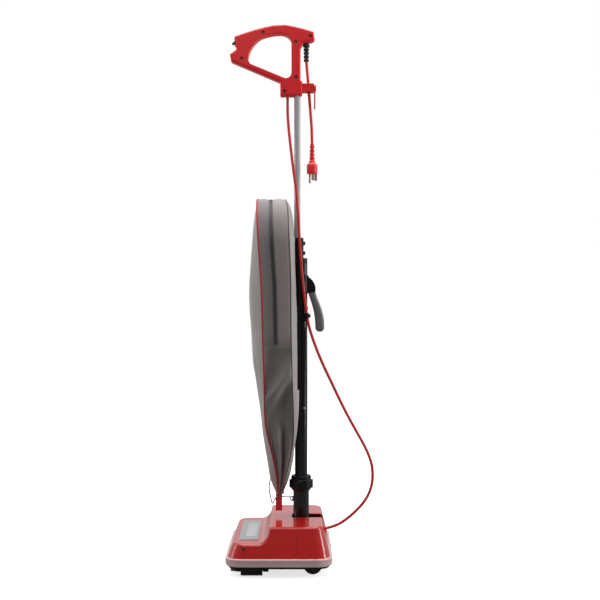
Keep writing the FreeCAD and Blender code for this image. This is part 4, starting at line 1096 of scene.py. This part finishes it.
def tuft_places(low, high, columns, rows, seed):
    """Roots spread over a rectangle, each with a small seeded lean."""
    places = []
    for column in range(columns):
        for row in range(rows):
            share_x, share_y = (column + 0.5) / columns, (row + 0.5) / rows
            wobble = Vector((noise.noise(Vector((column * 1.7, row * 2.3, seed))),
                             noise.noise(Vector((column * 2.1, row * 1.3, seed + 7))), 0))
            places.append((Vector((low.x + (high.x - low.x) * share_x,
                                   low.y + (high.y - low.y) * share_y, high.z)), wobble))
    return places


def tufts_mesh(name, tufts, finish):
    """Tapered four-sided tufts; each is a root, a tip and a root half width."""
    points = []
    faces = []
    for root, tip, half in tufts:
        ahead = (tip - root).normalized()
        first = ahead.orthogonal().normalized()
        second = ahead.cross(first)
        start = len(points)
        for centre, size in ((root, half), (tip, half * 0.55)):
            for a, b in ((1, 1), (-1, 1), (-1, -1), (1, -1)):
                points.append(centre + first * a * size + second * b * size)
        for step in range(4):
            following = (step + 1) % 4
            faces.append((start + step, start + following, start + 4 + following,
                          start + 4 + step))
        faces += [(start + 3, start + 2, start + 1, start),
                  (start + 4, start + 5, start + 6, start + 7)]
    obj = mesh_piece(name, points, faces, finish)
    outward(obj)
    return obj


def make_edge_brushes(finishes):
    """Rows of bristle tufts below a holder on each side of the brush chamber."""
    bristle_length, inset, outer_inset, root_spread, lean_reach = (
        0.0086, 0.001, 0.0028, 0.0004, 0.0016)
    columns, rows, seed, tuft_half = 34, 5, 3, 0.0007
    for side in ("left", "right"):
        node = "edge_brush_" + side
        low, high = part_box(node)
        holder_low = low.z + bristle_length
        holder = rounded_box("edge_brush_holder_" + side,
                             Vector((low.x, low.y, holder_low)) / MM, high / MM, 1.2,
                             finishes["black_plastic"])
        root_low = Vector((low.x + inset, low.y + outer_inset, holder_low))
        root_high = Vector((high.x - inset, high.y - inset, holder_low + root_spread))
        if side == "right":
            root_low.y, root_high.y = low.y + inset, high.y - outer_inset
        tufts = [(root, Vector((root.x + lean.x * lean_reach, root.y + lean.y * lean_reach,
                                low.z)), tuft_half)
                 for root, lean in tuft_places(root_low, root_high, columns, rows, seed)]
        brush = tufts_mesh("edge_bristles_" + side, tufts, finishes["bristle"])
        for piece in (holder, brush):
            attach(piece, "base")
        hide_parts(node)
        deselect()


def make_roll_bristles(finishes):
    """Two spiral rows of tufts on the brush roll."""
    low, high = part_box("brush_bristles")
    centre = (low + high) / 2
    reach = (high.z - low.z) / 2
    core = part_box("brush_roller")
    sunk, short, twist, row_turn, row_shift, tuft_half = 0.0005, 0.0003, 1.1, 0.13, 0.0008, 0.0009
    radius = (core[1].x - core[0].x) / 2 - sunk
    tufts = []
    count = 62
    for start in (0, 1):
        for row in (0, 1):
            for step in range(count):
                y = low.y + (high.y - low.y) * (step + 0.5) / count
                angle = (math.pi * (start + 0.5) + twist * (step / count - 0.5)
                         + row_turn * row)
                way = Vector((math.cos(angle), 0, math.sin(angle)))
                root = Vector((centre.x, y, centre.z)) + way * radius
                tip = (Vector((centre.x, y + row_shift * row, centre.z))
                       + way * (reach - short))
                tufts.append((root, tip, tuft_half))
    brush = tufts_mesh("roll_bristles", tufts, finishes["bristle"])
    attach(brush, "brush_roll")
    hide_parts("brush_bristles")


# ---- Making the machine

set_camera()
finishes = make_finishes()
make_power_cord(finishes)
make_motor_cord(finishes)
set_studio()
deselect()
add_floor(make_floor_finish())
dress_frame(finishes)
for make_part in (make_bag, make_piping, make_zipper, make_zip_slider, make_tube_button,
                  make_plate_inlay, make_tie_ring, make_strip_clip, make_stitching,
                  make_tail_strap, make_lower_hook, make_edge_brushes, make_roll_bristles):
    make_part(finishes)
